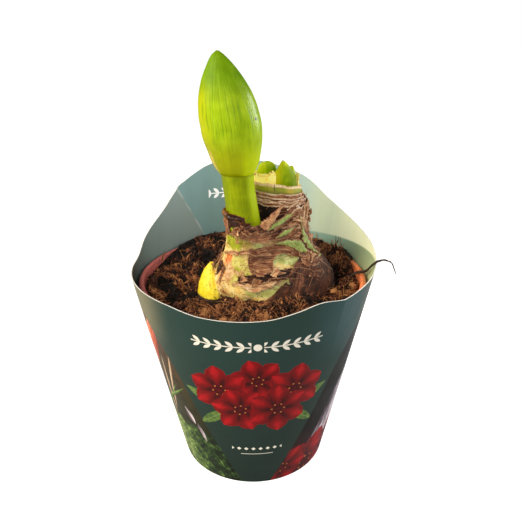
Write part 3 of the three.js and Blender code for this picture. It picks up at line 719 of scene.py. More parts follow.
def card_inside():
    """The sleeve's inner face: a paler print of the same kind, with painted light and shade: a painted shadow low
    down on the right, painted shade on the side panel, and painted light on the right wall and the ornament.
    """
    p = Paint("sleeve_inside", Specular_IOR_Level=0.25)
    turn, radius = sleeve_place(p)
    back = off_turn(turn, BACK_TURN)
    s = back * radius * (TAU / 360)
    edge = back - (p.z * 0.36 - 15.5)
    # Painted shade: the side panel's plain card, lighter by the crease and darker further round.
    shaded_grey = p.stops((back - 30) / 90, "5 #98aaa4, 35 #76867f, 75 #48544f, 100 #343b38")
    teal = p.stops((back + 60) / 100, "0 #acbaa4, 25 #a2b8ae, 45 #99b6b4, 70 #89adac")
    # Cream print on the right, brightened there as painted sunlight on the inner wall.
    pale = p.stops((back + 130) / 90, "0 #6d735f, 15 #c4c9a0, 40 #f6f8cc, 66 #e8ecc4, 90 #b0bda6")
    # Painted shadow: darker green below a nearly level line on the right wall.
    low = p.z - (off_turn(turn, 56) * -0.075 + 121)
    green = p.stops((back + 100) / 70, "0 #c4d8a8, 25 #b2c89c, 60 #86a592, 100 #7b9c92")
    painted_shadow = low.rise(0.7, -0.7) * back.rise(4, -4)
    crease = abs(edge - 0.2).rise(0.9, 0.1) * back.rise(14, 18) * p.noise(6, 3).rise(0.35, 0.6)
    ornament = sprig(p, s - 3, p.z - 144, 25)
    p.over(p.mix(pale, teal, back.rise(-44, -30)))
    p.over(green, painted_shadow)
    p.over(shaded_grey, edge.rise(-0.4, 0.4) * back.rise(8, 12))
    p.over("#c3cfcb", crease * 0.8)
    p.over("#ffffff", ornament)
    p.over(p.stops(blades(p, s, p.z, 9, 90), "30 #e6e6e6, 70 #ffffff"), 0.35, "MULTIPLY")
    # Painted light: the right wall above the painted shadow, and the ornament, give off a little light, as if
    # light came through the card.
    painted_glow = back.rise(-30, -75) * (1 - painted_shadow) * 0.3 + ornament * 0.35
    rough = p.noise(20, 3).rise(0.2, 0.8) * 0.1 + 0.45
    return p.done(rough, p.noise(14, 3) * 0.1, Emission_Color=p.base, Emission_Strength=painted_glow)


def card_edge():
    p = Paint("sleeve_edge")
    p.over(p.stops(p.noise(1.5, 4), "30 #ded9d3, 70 #f2efeb"))
    return p.done(0.8, p.noise(0.3, 2) * 0.05)


def sleeve_radius(angle, z):
    """The cone, a little wider at its two creases and a little wavy high up. make_sleeve adds the glued lap as a
    step.
    """
    creases = np.radians(np.array(SLEEVE["creases"]))[:, None]
    away = np.abs((np.ravel(angle) - creases + math.pi) % TAU - math.pi)
    near = np.max(1 - np.minimum(away / math.radians(16), 1), axis=0).reshape(np.shape(angle))
    halfway = np.cos(2 * (angle - creases[0])) ** 2
    free = ramp(z, 70, 150)
    wave = 0.35 * np.sin(3 * angle + 1) * ramp(z, 90, 160)
    return SLEEVE["foot"] + SLEEVE["slope"] * z + free * (1.5 * near**2 - 0.5 * halfway) + wave * (1 - near)


def make_sleeve():
    columns, rows = 480, 30
    angle = full_turn(columns) + math.radians(SLEEVE["creases"][0])
    z = np.linspace(0, 1, rows)[:, None] * SLEEVE_TOP(angle)
    radius = sleeve_radius(angle + 0 * z, z)
    past = np.degrees(angle) - SLEEVE["creases"][0]
    lap = 0.4 * ((past > 0.5) & (past < SLEEVE["lap"] - SLEEVE["creases"][0]))

    def sheet(out):
        return around(MIDDLE, radius + out, angle, z)

    body = Body()
    body.wall(sheet(lap), sheet(-SLEEVE["thickness"]), closed=True, slots=(1, 2))
    piece("sleeve_card", body, [card_outside(), card_edge(), card_inside()], "printed_card", "sleeve", sharp=50)


# Living bulb

# Two circles by height, which part for the neck and for the foot of the flower stem: centre and radius
BULB_SECTION = table([
    [58, 10, 6, 15, 10, 6, 15], [61, 10, 6, 23, 10, 6, 23], [68, 10, 6, 31.5, 10, 6, 31.5],
    [78, 10, 6, 36.8, 10, 6, 36.8], [90, 10, 6, 38.6, 10, 6, 38.6], [101, 10, 6, 38.6, 10, 6, 38.6],
    [109, 10.5, 6, 37.2, 8, 3.6, 35.6], [116, 11.2, 5.8, 34, 2.6, -3, 28.6],
    [122, 12, 5.6, 29.4, -0.4, -8.4, 21.8], [128, 12.3, 5.4, 24.2, -2.4, -11.8, 16.2],
    [133, 12.4, 5.2, 20.8, -3.8, -13.8, 12.4], [139, 12.5, 5, 18.7, -4, -15, 10.4],
    [145, 12.5, 5, 18, -3.9, -15.2, 9.7], [164, 12.5, 5, 17.8, -4.2, -15.2, 9.6],
])
ARC = 0.42  # millimetres to a degree round the upper bulb


def bulb_at(turn, z, out=0.0):
    """Points on the bulb that face a turn at a height, moved out."""
    x1, y1, r1, x2, y2, r2 = BULB_SECTION(z)
    c, s = np.cos(turn), np.sin(turn)
    lead = x1 * c + y1 * s + r1 - (x2 * c + y2 * s + r2)
    share = 1 / (1 + np.exp(-lead / 2.5))
    x = share * (x1 + (r1 + out) * c) + (1 - share) * (x2 + (r2 + out) * c)
    y = share * (y1 + (r1 + out) * s) + (1 - share) * (y2 + (r2 + out) * s)
    return stack(x, y, z)


# Patches of each tone on the flesh: strength, turn and half its width in degrees, height and half the
# patch's height in millimetres, and slant
SPOTS = {
    "lime": (
        (1, -118, 48, 143.6, 5), (1, -131, 8, 150, 3), (0.54, -104, 24, 130.6, 6.2, -0.03),
        (0.54, -72, 30, 140, 2.4), (0.54, -112, 14, 124, 5),
    ),
    "mint": ((1, -55, 9, 129.5, 4.5, -0.5), (1, -66, 8, 141.5, 2.6), (0.9, -80, 24, 118, 3.2, 0.1)),
    "pink": (
        (1, -92, 30, 121.4, 1.6, 0.02), (0.5, -82, 12, 142, 4), (0.4, -147, 20, 128, 10),
        (0.35, -132, 10, 120, 9),
    ),
    "orange": ((1, -137, 11, 133.6, 3.2), (0.5, -146, 8, 126, 6)),
    "dark": (
        (1, -82, 30, 124.4, 1.8, 0.02), (0.85, -155, 5, 125.4, 5.6), (0.5, -128, 60, 136.6, 0.5, 0.02),
    ),
}


def flesh_tones(turn, z):
    """How lime, minty, pink, orange and dark the flesh is, from 0 to 1, by turn and height."""
    d = signed_degrees(turn)
    at = stack(d * ARC, z, 0)
    d = d + 5 * fractal(at, 3, 3, 62)
    z = z + 1.1 * fractal(at, 2.5, 3, 63)
    blotch = fractal(at, 6, 3, 61)

    def spot(share, turn_at, wide, z_at, tall, slant=0.0):
        reach = np.hypot((d - turn_at) / wide, (z - z_at - slant * (d - turn_at)) / tall)
        return share * ramp(reach, 1.15, 0.75)

    tones = {name: sum(spot(*place) for place in places) for name, places in SPOTS.items()}
    tones["lime"] += 0.25 * ramp(blotch, 0.1, 0.8) * ramp(-z, -150, -112)
    tones["mint"] += ramp(d, -52, -30)
    tones["pink"] += 0.8 * ramp(blotch, 0.45, 0.9)
    # Darker low down, where soil stains the flesh, and at its top by the neck, where shade is painted.
    tones["dark"] += ramp(z, 113.5, 110) + ramp(-z, -149, -151.5)
    tones["dark"] *= 1 - spot(*SPOTS["lime"][1])
    return {name: np.clip(tone, 0, 1) for name, tone in tones.items()}


def flesh_relief(turn, z):
    """Height of the flesh in millimetres: a full pocket above, a split on the left, a raised low scale."""
    d = signed_degrees(turn)
    pocket = bump_at(d, -104, 38) * bump_at(z, 142.5, 6)
    split = bump_at(d, -150, 9) * bump_at(z, 125, 7)
    gash = bump_at(d, -86, 42) * bump_at(z - 0.02 * (d + 86), 124.6, 2.6)
    scale = bump_at(d, -95, 50) * bump_at(z - 0.05 * (d + 95), 117.5, 4)
    return 0.5 * pocket - 1.8 * split - 0.8 * gash + 0.5 * scale


def bulb_flesh():
    """Cream flesh with yellow green, mint and pink patches, finely ribbed and spotted with brown. Yellow paints
    sunlight where sun is set, and dark brown marks soil stains low down and painted shade in the recesses.
    """
    p = Paint("bulb_flesh", (0.1, 2.2, 1.6, 0.5))
    lime, mint, pink, orange, sun, dark = p.values("lime mint pink orange sun dark")
    mottle = p.noise(3.4, 4, 0.6)
    p.over(p.stops(mottle, "30 #d09a4c, 45 #e6c872, 70 #f4e5a2"))
    p.over(p.stops(mottle, "30 #7c8600, 50 #a0a608, 72 #bdba26"), lime)
    p.over(p.stops(mottle, "30 #949a44, 50 #bfc46c, 72 #dde09a"), mint)
    p.over(p.stops(p.noise(1.8, 4), "35 #9a5636, 50 #cd8d68, 68 #eac6a0"), pink * 0.85)
    p.over(p.stops(p.noise(1.4, 3), "35 #b04a14, 65 #e88a38"), orange)
    # Painted sunlight: bright yellow where the sun value is high.
    p.over(p.stops(mottle, "30 #e0bd12, 55 #f2dc22, 75 #f7e75a"), sun)
    specks = p.cells(1.5).rise(0.26, 0.14) * p.noise(5, 2).rise(0.44, 0.56)
    stains = p.noise(2.2, 5, 0.7).rise(0.57, 0.68)
    p.over("#8d5c34", stains * (1 - sun * 0.9) * 0.6)
    p.over("#3f200f", specks * 0.9)
    # Dark brown where dark is high: soil stain low down, painted shade in the recesses.
    stain_and_shade = p.stops(p.noise(0.9, 4), "40 #1c0d07, 60 #45261a, 75 #7b4a33")
    p.over(stain_and_shade, dark.rise(0.25, 0.7))
    relief = p.noise(0.7, 3) * 0.15 + p.noise(3, 3) * 0.25 - specks * 0.12
    return p.done(mottle * 0.25 + 0.36 + dark * 0.25, relief)


# Centre and radius by height
BULBLET = table([
    [88, -21, -11, 3], [93, -21.5, -12, 7.4], [100, -22, -13, 9.4], [107, -22.3, -13.4, 9],
    [114, -22.5, -13.2, 7.4], [120, -22.8, -12.6, 5], [124, -22.6, -12, 2.9], [126.5, -22.3, -11.6, 1],
])


def bulblet_at(turn, z, out=0.0):
    """The centre of the daughter bulb, and how far its slightly flattened side is from there, moved out."""
    x, y, r = BULBLET(z)
    return (x, y), (r + out) * (1 - 0.12 * np.cos(2 * (turn - 0.6)))


def add_bulblet(body):
    """The daughter bulb: yellow on its left, where sunlight is painted, pale and spotted where it meets its
    parent, with painted shade there and a soil stain at its foot.
    """
    turn = full_turn(90)
    z = np.linspace(88, 126.5, 60)[:, None]
    centre, r = bulblet_at(turn, z)
    r = r + 0.3 * fractal(around(centre, r, turn, z), 6, 3, 71) + 0.12 * np.cos(turn * 22)
    facing = (np.degrees(turn) + 360) % 360
    # Painted light: yellow sun on the side away from the parent. Painted shade where the two bulbs meet, and a
    # soil stain at the foot.
    shaded = bump_at(facing, 318, 40)
    sun = np.clip(1.3 - 1.6 * shaded, 0, 1)
    dark = np.clip(bump_at(facing, 322, 12) * bump_at(z, 118, 9) + ramp(-z, -110.5, -107), 0, 1)
    points = around(centre, r, turn, z)
    body.round(points, sun=sun, lime=0.2, mint=0, pink=0.7 * shaded, orange=0, dark=dark)


ROOT_TONES = {"sun": 0, "lime": 0, "mint": 0, "pink": 0.3, "orange": 0, "dark": 0.2}


def add_roots(body):
    """The basal plate and the fleshy roots that spread from it through the soil."""
    turn = full_turn(40)
    plate = np.array([[54, 9], [54.3, 10.5], [57, 13.6], [59.5, 14]])
    z, r = plate[:, :1], plate[:, 1:]
    ring = around(BULB["at"], r, turn, z)
    body.round(ring, **ROOT_TONES)
    random = np.random.default_rng(5)
    count = 7
    at = np.linspace(0, 4, 30)
    for i in range(count):
        angle = (i + 0.35 * random.random()) / count * TAU
        reach, drop, sway = 24 + 12 * random.random(), 26 + 16 * random.random(), 0.5 * (random.random() - 0.5)
        rows = [
            [0, 5, 0, 0], [1, 12, 0, 3.5], [2, reach * 0.62, sway / 2, 6 + drop * 0.3],
            [3, reach * 0.78, sway, 6 + drop * 0.7], [4, reach * 0.85, sway * 1.6, 6 + drop],
        ]
        r, off, down = table(rows)(at)
        path = around(BULB["at"], r, angle + off, 56 - down)
        body.tube(path, 2 * (1 - 0.14 * at), 10, **ROOT_TONES)


def make_bulb():
    turn = full_turn(320)
    z = np.concatenate([np.linspace(58, 102, 18), np.linspace(102.6, 150, 96)])[:, None]
    points = bulb_at(turn, z)
    out = 0.4 * fractal(points, 8, 4, 51) - 0.15 * ramp(z, 120, 150) + 0.05 * np.cos(turn * 46) * ramp(z, 104, 112)
    side = bulb_at(turn, z, out + flesh_relief(turn, z))
    brim = around(NECK["at"], NECK["cup"], turn, BULB["top"])
    share = np.linspace(0.12, 1, 9)[:, None, None]
    shelf = side[-1] * (1 - share) + brim * share
    shelf[..., 2] += 0.7 * fractal(shelf, 3, 3, 52) * np.sin(share[..., 0] * math.pi)
    well = np.stack([stack(brim[:, 0], brim[:, 1], height) for height in (147, 144, NECK["floor"])])
    points = np.concatenate([side, shelf, well])
    tones = flesh_tones(turn + 0 * points[..., 2], points[..., 2])
    # Painted shade: the shelf and the well inside the neck are made fully dark.
    tones["dark"][len(z):] = 1
    body = Body()
    body.round(points, sun=0, **tones)
    add_bulblet(body)
    add_roots(body)
    piece("bulb_flesh", body, [bulb_flesh()], "bulb_flesh", "bulb")


# Dry skins


def dry_skin(name, cut=False):
    """Papery skin with fibres along it: dark where its tone is low, where soil stains it and where the neck's
    rings carry painted shade, light where it is torn or cut.
    """
    p = Paint(name, Sheen_Weight=0.08, Specular_IOR_Level=0.25)
    along, across, edge, tone, green = p.values("along across edge tone green")
    fibre = p.streaks(*((along / 0.5, across / 8) if cut else (along / 9, across / 0.5)), tone * 7, 4, 0.65)
    patch = p.noise(3.6, 4)
    level = fibre * 0.9 + patch * 0.55 + tone * 0.62 - 0.56
    p.over(p.stops(level, "8 #1a0c06, 28 #452416, 46 #7b462a, 60 #ac744c, 76 #dcae7c, 92 #f2dab0"))
    hairs = p.streaks(along / 6, across / 0.28, tone * 3).rise(0.6, 0.7)
    p.over("#dcb48e", hairs * tone.rise(0.1, 0.5) * 0.55)
    frayed = edge.rise(0.6, 0.05) * p.noise(1.2, 3).rise(0.4, 0.58)
    p.over(p.stops(fibre, "30 #7c4a2e, 70 #dcb488"), frayed * tone.rise(0.2, 0.45) * 0.85)
    pale = p.stops(fibre * 0.7 + patch * 0.4, "35 #5f7038, 50 #8fa563, 68 #b4c48e")
    p.over(pale, (green + (patch - 0.5) * 0.8).rise(0.35, 0.65))
    if cut:
        rim = p.stops(fibre * 0.6 + p.noise(2) * 0.4, "36 #7c4a30, 46 #c99a72, 60 #efdcbc")
        p.over(rim, (edge + p.noise(1.5) * 0.4).rise(1.2, 0.7))
    return p.done(fibre * 0.25 + 0.6, fibre * 0.5 + hairs * 0.08 + p.noise(0.5, 3) * 0.15)


def skin(body, seed, lift, curl, ragged, grain, tone, rows, step=0.55, ridge=0.3):
    """A torn skin that wraps the bulb. rows hold [turn in degrees, low edge, high edge]; curl is how far those
    edges roll out; grain is the slope of its fibres."""
    first, last = rows[0][0], rows[-1][0]
    degrees = np.linspace(first, last, max(8, int((last - first) * ARC / step)))
    arc = degrees * ARC
    low, high = table(rows)(degrees)
    low = low + ragged * fray(arc, 5, seed)
    high = np.maximum(high + ragged * fray(arc, 5, seed + 40), low + 0.25)
    v = np.linspace(0, 1, max(5, int(np.max(high - low) / step)))[:, None]
    z = low + (high - low) * v
    inward = np.minimum(degrees - first, last - degrees)
    side = np.sign((first + last) / 2 - degrees)
    turn = degrees + side * ramp(inward, 4, 0) * 2.6 * (0.4 + fray(z, 2.5, seed + 80))
    at = stack(turn * ARC, z, seed)
    slope = math.radians(grain)
    along = at[..., 0] * math.cos(slope) + z * math.sin(slope)
    across = z * math.cos(slope) - at[..., 0] * math.sin(slope)
    out = lift + ridge * fractal(stack(along / 9, across / 1.1, seed), 1.0, 3, seed + 3)
    for roll, inside, width, k in ((curl[0], z - low, 2.2, 4), (curl[1], high - z, 2.4, 5)):
        out = out + roll * ramp(inside, width, 0) ** 1.5 * (0.6 + 0.9 * noise(at, 4, seed + k))
    out = out + 0.3 * noise(at, 7, seed + 6)
    edge = np.minimum(np.minimum(z - low, high - z), inward * ARC + 0 * z)
    tones = tone + 0.16 * noise(at, 6, seed + 7)
    facing = np.radians(turn)
    outer, inner = bulb_at(facing, z, out + PAPER), bulb_at(facing, z, out)
    body.wall(outer, inner, along=along, across=across, edge=edge, tone=tones, green=0)


def flakes(body, seed, count, turns, heights, tone, out):
    """Small curled scraps of skin, scattered over part of the bulb."""
    random = np.random.default_rng(seed)
    for i in range(count):
        turn, z = random.uniform(*turns), random.uniform(*heights)
        wide, tall = random.uniform(5, 16), random.uniform(1.2, 4)
        sag = random.uniform(-1.5, 1.5)
        rows = [
            [turn, z + sag, z + sag + tall * 0.5], [turn + wide / 2, z, z + tall],
            [turn + wide, z - sag, z - sag + tall * 0.4],
        ]
        lift, curl, grain = random.uniform(*out), random.uniform(0.2, 1.8, 2), random.uniform(-35, 35)
        skin(body, seed + i, lift, curl, 0.5, grain, tone + random.uniform(-0.3, 0.3), rows, step=0.5)


def threads(body, seed, count, turns, heights, tone, length=(4, 12), out=(0.8, 2.2)):
    """Loose fibres that have come away from the skins."""
    random = np.random.default_rng(seed)
    t = np.linspace(0, 1, 9)
    for _ in range(count):
        turn, z = random.uniform(*turns), random.uniform(*heights)
        reach, slope = random.uniform(*length), random.normal(0, 0.5)
        bow, arch = random.uniform(-1, 1), random.uniform(0.3, 1.8)
        degrees = turn + reach / ARC * t * math.cos(slope)
        heights_on = z + reach * t * math.sin(slope) + bow * np.sin(t * math.pi)
        path = bulb_at(np.radians(degrees), heights_on, random.uniform(*out) + arch * t**2)
        shade = tone + random.uniform(-0.3, 0.3)
        body.tube(path, 0.16 * (1.1 - 0.8 * t), 3, along=reach * t, across=0, edge=1, tone=shade, green=0)


# Each tunic's skins: seed, lift, curl, raggedness, slope of the grain, tone, rows and what else is set.
# Then its flakes and threads: seed, count, turns, heights, tone and what else is set.
SKINS = {
    "collar": ((
        (101, 0.35, (0.3, 0.7), 0.7, -8, 0.5, [
            [-180, 142.5, 151], [-150, 146, 150.4], [-140, 147, 150], [-133, 147, 148.4], [-126, 147.2, 148.6],
            [-119, 147.4, 151], [-107, 147.4, 151.4], [-84, 145.2, 150.8], [-64, 142.2, 151.2], [-50, 140.4, 153],
            [-40, 137.2, 155.2], [-20, 136, 156.4], [10, 135.6, 157.4], [50, 137, 157], [90, 139, 155],
            [140, 141, 152], [180, 142.5, 151],
        ]),
        (102, 0.6, (0.2, 1.0), 1.0, 20, 0.55, [[-176, 149, 153.2], [-156, 150, 154], [-143, 150, 153]]),
        (103, 0.75, (0.9, 0.5), 1.2, -6, 0.55, [
            [-122, 146.4, 149.6], [-112, 146, 150], [-92, 144.6, 149], [-70, 143, 148.5], [-60, 142, 146],
        ]),
        (104, 0.9, (0.5, 0.9), 1.1, 14, 0.3, [
            [-98, 146, 151.4], [-80, 146.6, 152], [-66, 146, 151.6], [-52, 146, 152.6],
        ]),
        (105, 0.6, (0.5, 0.4), 1.3, 62, 0.58, [
            [-56, 138, 150], [-46, 135, 154.6], [-34, 134, 156.6], [-20, 133.5, 155],
        ]),
        (106, 0.5, (0.5, 0.4), 1.5, 70, 0.5, [[-24, 134, 153], [0, 133, 156], [30, 134, 155.5], [70, 136, 154]]),
        (108, 0.6, (0.3, 0.5), 0.8, 78, 0.92, [
            [-36, 146, 155], [-31, 144, 158], [-24, 143, 157], [-18, 145, 153],
        ]),
        (109, 0.6, (0.3, 0.6), 0.9, 70, 0.8, [[-22, 147, 155], [-14, 146, 158], [-4, 147, 155]]),
    ), (
        (120, 16, (-112, -44), (144.5, 151), 0.62, (0.9, 1.7)),
        (160, 7, (-56, -36), (140, 150), 0.7, (1.2, 1.7)),
        (180, 7, (-40, 10), (140, 156), 0.8, (0.5, 0.9)),
    ), (140, 60, (-150, 30), (140, 155), 0.7)),
    "shoulder": ((
        (201, 0.5, (0.5, 0.7), 0.6, -24, 0.52, [
            [-87, 127.2, 130], [-83, 126.4, 135], [-77, 126, 138.8], [-67, 126.4, 138.4], [-64, 129, 138.5],
            [-61, 132.6, 138.6], [-56, 133.8, 138.4], [-50, 131, 137], [-40, 127.4, 135.6], [-20, 126.6, 134.6],
            [10, 127, 134.4], [40, 127.6, 134],
        ]),
        (202, 0.95, (0.7, 0.6), 0.9, -30, 0.62, [
            [-82, 127, 130], [-76, 126, 131.6], [-70, 126.2, 130.6], [-66, 126.4, 129.6],
        ]),
        (203, 0.95, (0.4, 0.9), 0.9, -14, 0.5, [
            [-80, 134, 139], [-70, 135.4, 140], [-60, 136, 139.6], [-50, 133, 138.6],
        ]),
        (207, 0.55, (0.8, 0.8), 0.9, -6, 0.7, [
            [-143, 136.6, 137.4], [-128, 137, 138], [-112, 137.2, 138.7], [-96, 137.2, 139.4], [-80, 136.2, 139.2],
            [-70, 134.8, 138.6], [-62, 134, 137.4],
        ]),
        (204, 1.0, (0.6, 1.0), 1.1, -48, 0.4, [
            [-49, 127, 132], [-44, 125.6, 136.6], [-36, 124.5, 136], [-26, 125, 134],
        ]),
        (205, 0.5, (0.5, 0.8), 0.5, 80, 0.9, [[-168, 129, 133.6], [-163, 126, 135], [-158, 129, 133.6]]),
    ), (
        (220, 7, (-44, -20), (126, 137), 0.6, (0.8, 1.3)),
    ), (240, 40, (-105, 20), (125, 140), 0.65)),
    "front": ((
        (301, 0.35, (0.6, 0.4), 0.9, -4, 0.12, [
            [-110, 123.4, 125.4], [-101, 122, 125.6], [-90, 121.4, 125], [-76, 121.8, 125.2], [-64, 122.8, 126.6],
            [-57, 123, 127],
        ], 0.55, 0.4),
        (302, 0.7, (0.9, 0.3), 1.0, 4, 0.92, [
            [-108, 120.8, 123.6], [-96, 119.4, 122.8], [-82, 119.6, 122.4], [-70, 120.6, 123],
        ]),
        (303, 0.5, (0.6, 0.9), 0.6, 80, 0.5, [[-141.5, 119.6, 128], [-139.5, 118.6, 130], [-137, 120, 129]]),
        (305, 0.5, (0.4, 0.6), 0.9, 30, 0.22, [
            [-100, 109, 111.4], [-91, 109, 113.2], [-83, 109, 114.8], [-76, 109, 116.6], [-69, 110, 118.8],
            [-63, 111, 120.6],
        ], 0.55, 0.2),
    ), (
        (320, 9, (-108, -60), (119, 127), 0.6, (0.5, 1.0)),
    ), (340, 40, (-140, -50), (114, 128), 0.6, (2, 7), (0.4, 1.0))),
    "right": ((
        (401, 0.5, (0.3, 0.5), 0.8, 58, 0.19, [
            [-66, 103, 117.4], [-60, 102.5, 124], [-54, 102.4, 127.4], [-47, 102.4, 130], [-36, 102.4, 129.6],
            [-22, 102.4, 126.4], [-8, 102.5, 124.6], [20, 102.5, 123], [62, 102.6, 122.6],
        ], 0.55, 0.05),
        (402, 0.75, (0.3, 0.6), 0.6, 66, 0.24, [
            [-73, 109, 112], [-69, 110, 114.8], [-63, 112.4, 118.8], [-57, 116, 122.6], [-52, 120, 126],
        ], 0.55, 0.2),
        (403, 0.85, (0.3, 0.5), 1.0, 50, 0.2, [
            [-30, 103, 112], [-20, 103, 118.6], [-8, 103, 119], [10, 103, 117],
        ], 0.55, 0.06),
        (404, 1.1, (0.7, 1.0), 1.0, 40, 0.35, [[-46, 120, 126], [-38, 119, 128], [-30, 120, 126.4]]),
    ), (
        (420, 5, (-46, 30), (122, 129), 0.45, (0.8, 1.2)),
    ), (440, 16, (-58, 50), (108, 128), 0.3)),
    "back": ((
        (501, 0.6, (0.3, 0.8), 1.2, 80, 0.36, [
            [58, 103, 122], [80, 103, 127], [110, 103, 131], [150, 103, 131.5], [185, 103, 128], [200, 104, 122],
        ], 0.8, 0.4),
        (502, 0.4, (0.6, 0.7), 1.3, 60, 0.5, [
            [70, 126, 134], [100, 128, 139], [140, 127, 140], [175, 127, 137], [190, 128, 134],
        ], 0.8),
        (503, 1.2, (0.8, 1.2), 1.5, 74, 0.55, [[90, 112, 124], [120, 110, 129], [150, 112, 126]], 0.8),
    ), (
        (520, 16, (60, 190), (108, 136), 0.45, (0.9, 1.6)),
    ), (540, 34, (60, 190), (108, 138), 0.5)),
}


def make_skins():
    paper = dry_skin("dry_skin")
    for name, (skins, scraps, fibres) in SKINS.items():
        body = Body()
        for kind in skins:
            skin(body, *kind)
        for kind in scraps:
            flakes(body, *kind)
        threads(body, *fibres)
        piece("skin_" + name, body, [paper], "dry_skin", "tunic_" + name)


# Neck: cut scales, one inside another, round the young leaves


FOOT = {"scale": 139, "inner": 141.4, "rim": 150, "outer": 150.4}  # heights at which the neck's rings start


def neck_ring(body, seed, radius, thickness, low, tops, ragged, flare=0.3, tone=0.5, turns=(0, 360)):
    """A cut scale. tops holds rows of [turn in degrees, height of its top]; flare is how far the top leans out."""
    closed = turns[1] - turns[0] == 360
    degrees = np.linspace(*turns, int(turns[1] - turns[0]), endpoint=not closed)
    turn = np.radians(degrees)
    arc = stack(np.cos(turn), np.sin(turn), seed) * radius
    top = turn_table(tops)(turn) + ragged * fractal(arc, 4, 4, seed, 0.7)
    if not closed:
        top = top - 3 * ramp(np.minimum(degrees - turns[0], turns[1] - degrees), 9, 0)
    v = np.linspace(0, 1, 12)[:, None] ** 0.7
    z = low + (top - low) * v
    at = stack(arc[:, 0], arc[:, 1], z)
    wobble = 0.35 * noise(at, 6, seed + 1) * ramp(z, low, low + 8) + 0.1 * fractal(at, 1.6, 2, seed + 2)
    wobble = wobble + flare * ramp(z, top - 3, top) * (0.5 + noise(at, 5, seed + 3))

    def sheet(out):
        return around(NECK["at"], radius + wobble + out, turn, z)

    # Painted shade: low down at the front left the rings are darkened, as in the hollow under them.
    hollow = bump_at(degrees % 360, 254, 36) * ramp(z, 160.4, 158.8)
    tones = tone + 0.14 * noise(at, 5, seed + 4) - 0.62 * hollow
    across = turn * radius + 0 * z
    body.wall(sheet(thickness), sheet(0), closed, along=z, across=across, edge=top - z, tone=tones, green=0)


SCALE_PAPER = 0.4  # thickness of a dry scale in the neck
SCALE_TOPS = [
    [0, 165.5], [50, 165.6], [90, 166.6], [135, 168.6], [180, 170], [225, 170.2], [268, 169.6], [310, 168],
]


def lowered(rows, drop, front=0.0):
    """The same rim lower down, and lower again in front."""
    return [[turn, top - drop - front * max(0, -math.sin(math.radians(turn)))] for turn, top in rows]


def green_scale():
    """The living scale: green outside, with a pale pink cut edge."""
    p = Paint("green_scale", (0.15, 2, 2, 0.6))
    along, across, edge = p.values("along across edge")
    vein = p.streaks(along / 9, across / 0.7, 2)
    p.over(p.stops(vein * 0.3 + p.noise(6) * 0.7, "35 #86920e, 50 #a19f1c, 65 #c8ac34"))
    p.over("#76701c", edge.rise(2.6, 4.6) * 0.8)
    cracks = p.streaks(across / 0.9, along / 9, 1, 2).rise(0.66, 0.72)
    p.over("#8a3f1c", cracks * edge.rise(3.4, 1) * 0.7)
    cut = p.stops(p.noise(1.0, 4, 0.65), "32 #a8643c, 43 #e6bc84, 60 #f7e4bc")
    p.over(cut, edge.rise(1.5, 1))
    split = abs(across - 63.6).rise(0.4, 0.1) * edge.rise(4.4, 2.6)
    p.over("#5a1a10", split * 0.75)
    return p.done(vein * 0.2 + 0.35, vein * 0.2)


def dry_rim():
    """A cream scale whose edge has dried to orange flakes. A little light goes under its surface, and a faint
    emission in its own colour paints the light from behind that comes through it.
    """
    p = Paint("dry_rim", (0.1, 2, 1.6, 0.6))
    along, across, edge = p.values("along across edge")
    vein = p.streaks(along / 5, across / 0.5, 5, 4, 0.65)
    p.over(p.stops(vein * 0.6 + p.noise(2) * 0.4, "32 #f0b844, 45 #fde868, 66 #fff8b4"))
    burnt = edge.rise(2.4, 0.4) * p.noise(1.2, 4, 0.7).rise(0.5, 0.6)
    p.over(p.stops(vein, "35 #7a3c14, 65 #c9772e"), burnt)
    # Painted light: a faint emission in the scale's own colour.
    return p.done(vein * 0.2 + 0.5, vein * 0.3, Emission_Color=p.base, Emission_Strength=0.22)


def make_neck():
    scale = Body()
    neck_ring(scale, 601, 13.6, 1.2, FOOT["scale"], SCALE_TOPS, 0.25, 0.15)
    piece("neck_green_scale", scale, [green_scale()], "bulb_flesh", "bulb")

    rim = Body()
    left = [[90, 168.5], [150, 172], [190, 174], [230, 174.4], [250, 175], [262, 176.6], [274, 178.4]]
    for seed, radius, thickness, drop, ragged, flare, turns in (
        (611, 12.6, 0.5, 0, 0.6, 0.5, (112, 271)), (612, 12.0, 0.4, 0.6, 1.0, -0.9, (126, 250)),
        (613, 12.9, 0.4, 1.2, 0.9, 0.2, (-12, 96)),
    ):
        neck_ring(rim, seed, radius, thickness, FOOT["rim"], lowered(left, drop), ragged, flare, turns=turns)
    piece("neck_dry_rim", rim, [dry_rim()], "dry_skin", "bulb")

    paper = dry_skin("neck_paper", True)
    inner = Body()
    for seed, radius, drop, front, tone in (
        (621, 14.95, 2.9, 1.7, 0.62), (622, 15.6, 4.3, 2.5, 0.4), (623, 16.0, 5.4, 2.9, 0.6),
    ):
        tops = lowered(SCALE_TOPS, drop, front)
        neck_ring(inner, seed, radius, SCALE_PAPER, FOOT["inner"], tops, 0.35, tone=tone)
    threads_round(inner, 630, 24, 15.8, (156, 165))
    piece("neck_skin_inner", inner, [paper], "dry_skin", "neck_skin_inner")

    outer = Body()
    for seed, radius, drop, front, ragged, flare, tone, turns in (
        (641, 16.5, 6, 3, 0.5, 0.5, 0.66, (0, 360)), (642, 17, 7.4, 2.9, 0.5, 0.5, 0.4, (0, 360)),
        (645, 17.5, 10.5, 0, 1.6, 0.6, 0.5, (-70, 70)), (646, 17.52, 12, 0, 1.6, 0.6, 0.5, (60, 232)),
        (647, 17.54, 12.6, 0, 1.6, 0.6, 0.62, (-66, -20)),
    ):
        tops = lowered(SCALE_TOPS, drop, front)
        neck_ring(outer, seed, radius, SCALE_PAPER, FOOT["outer"], tops, ragged, flare, tone, turns)
    threads_round(outer, 650, 40, 17.6, (152, 161))
    piece("neck_skin_outer", outer, [paper], "dry_skin", "neck_skin_outer")


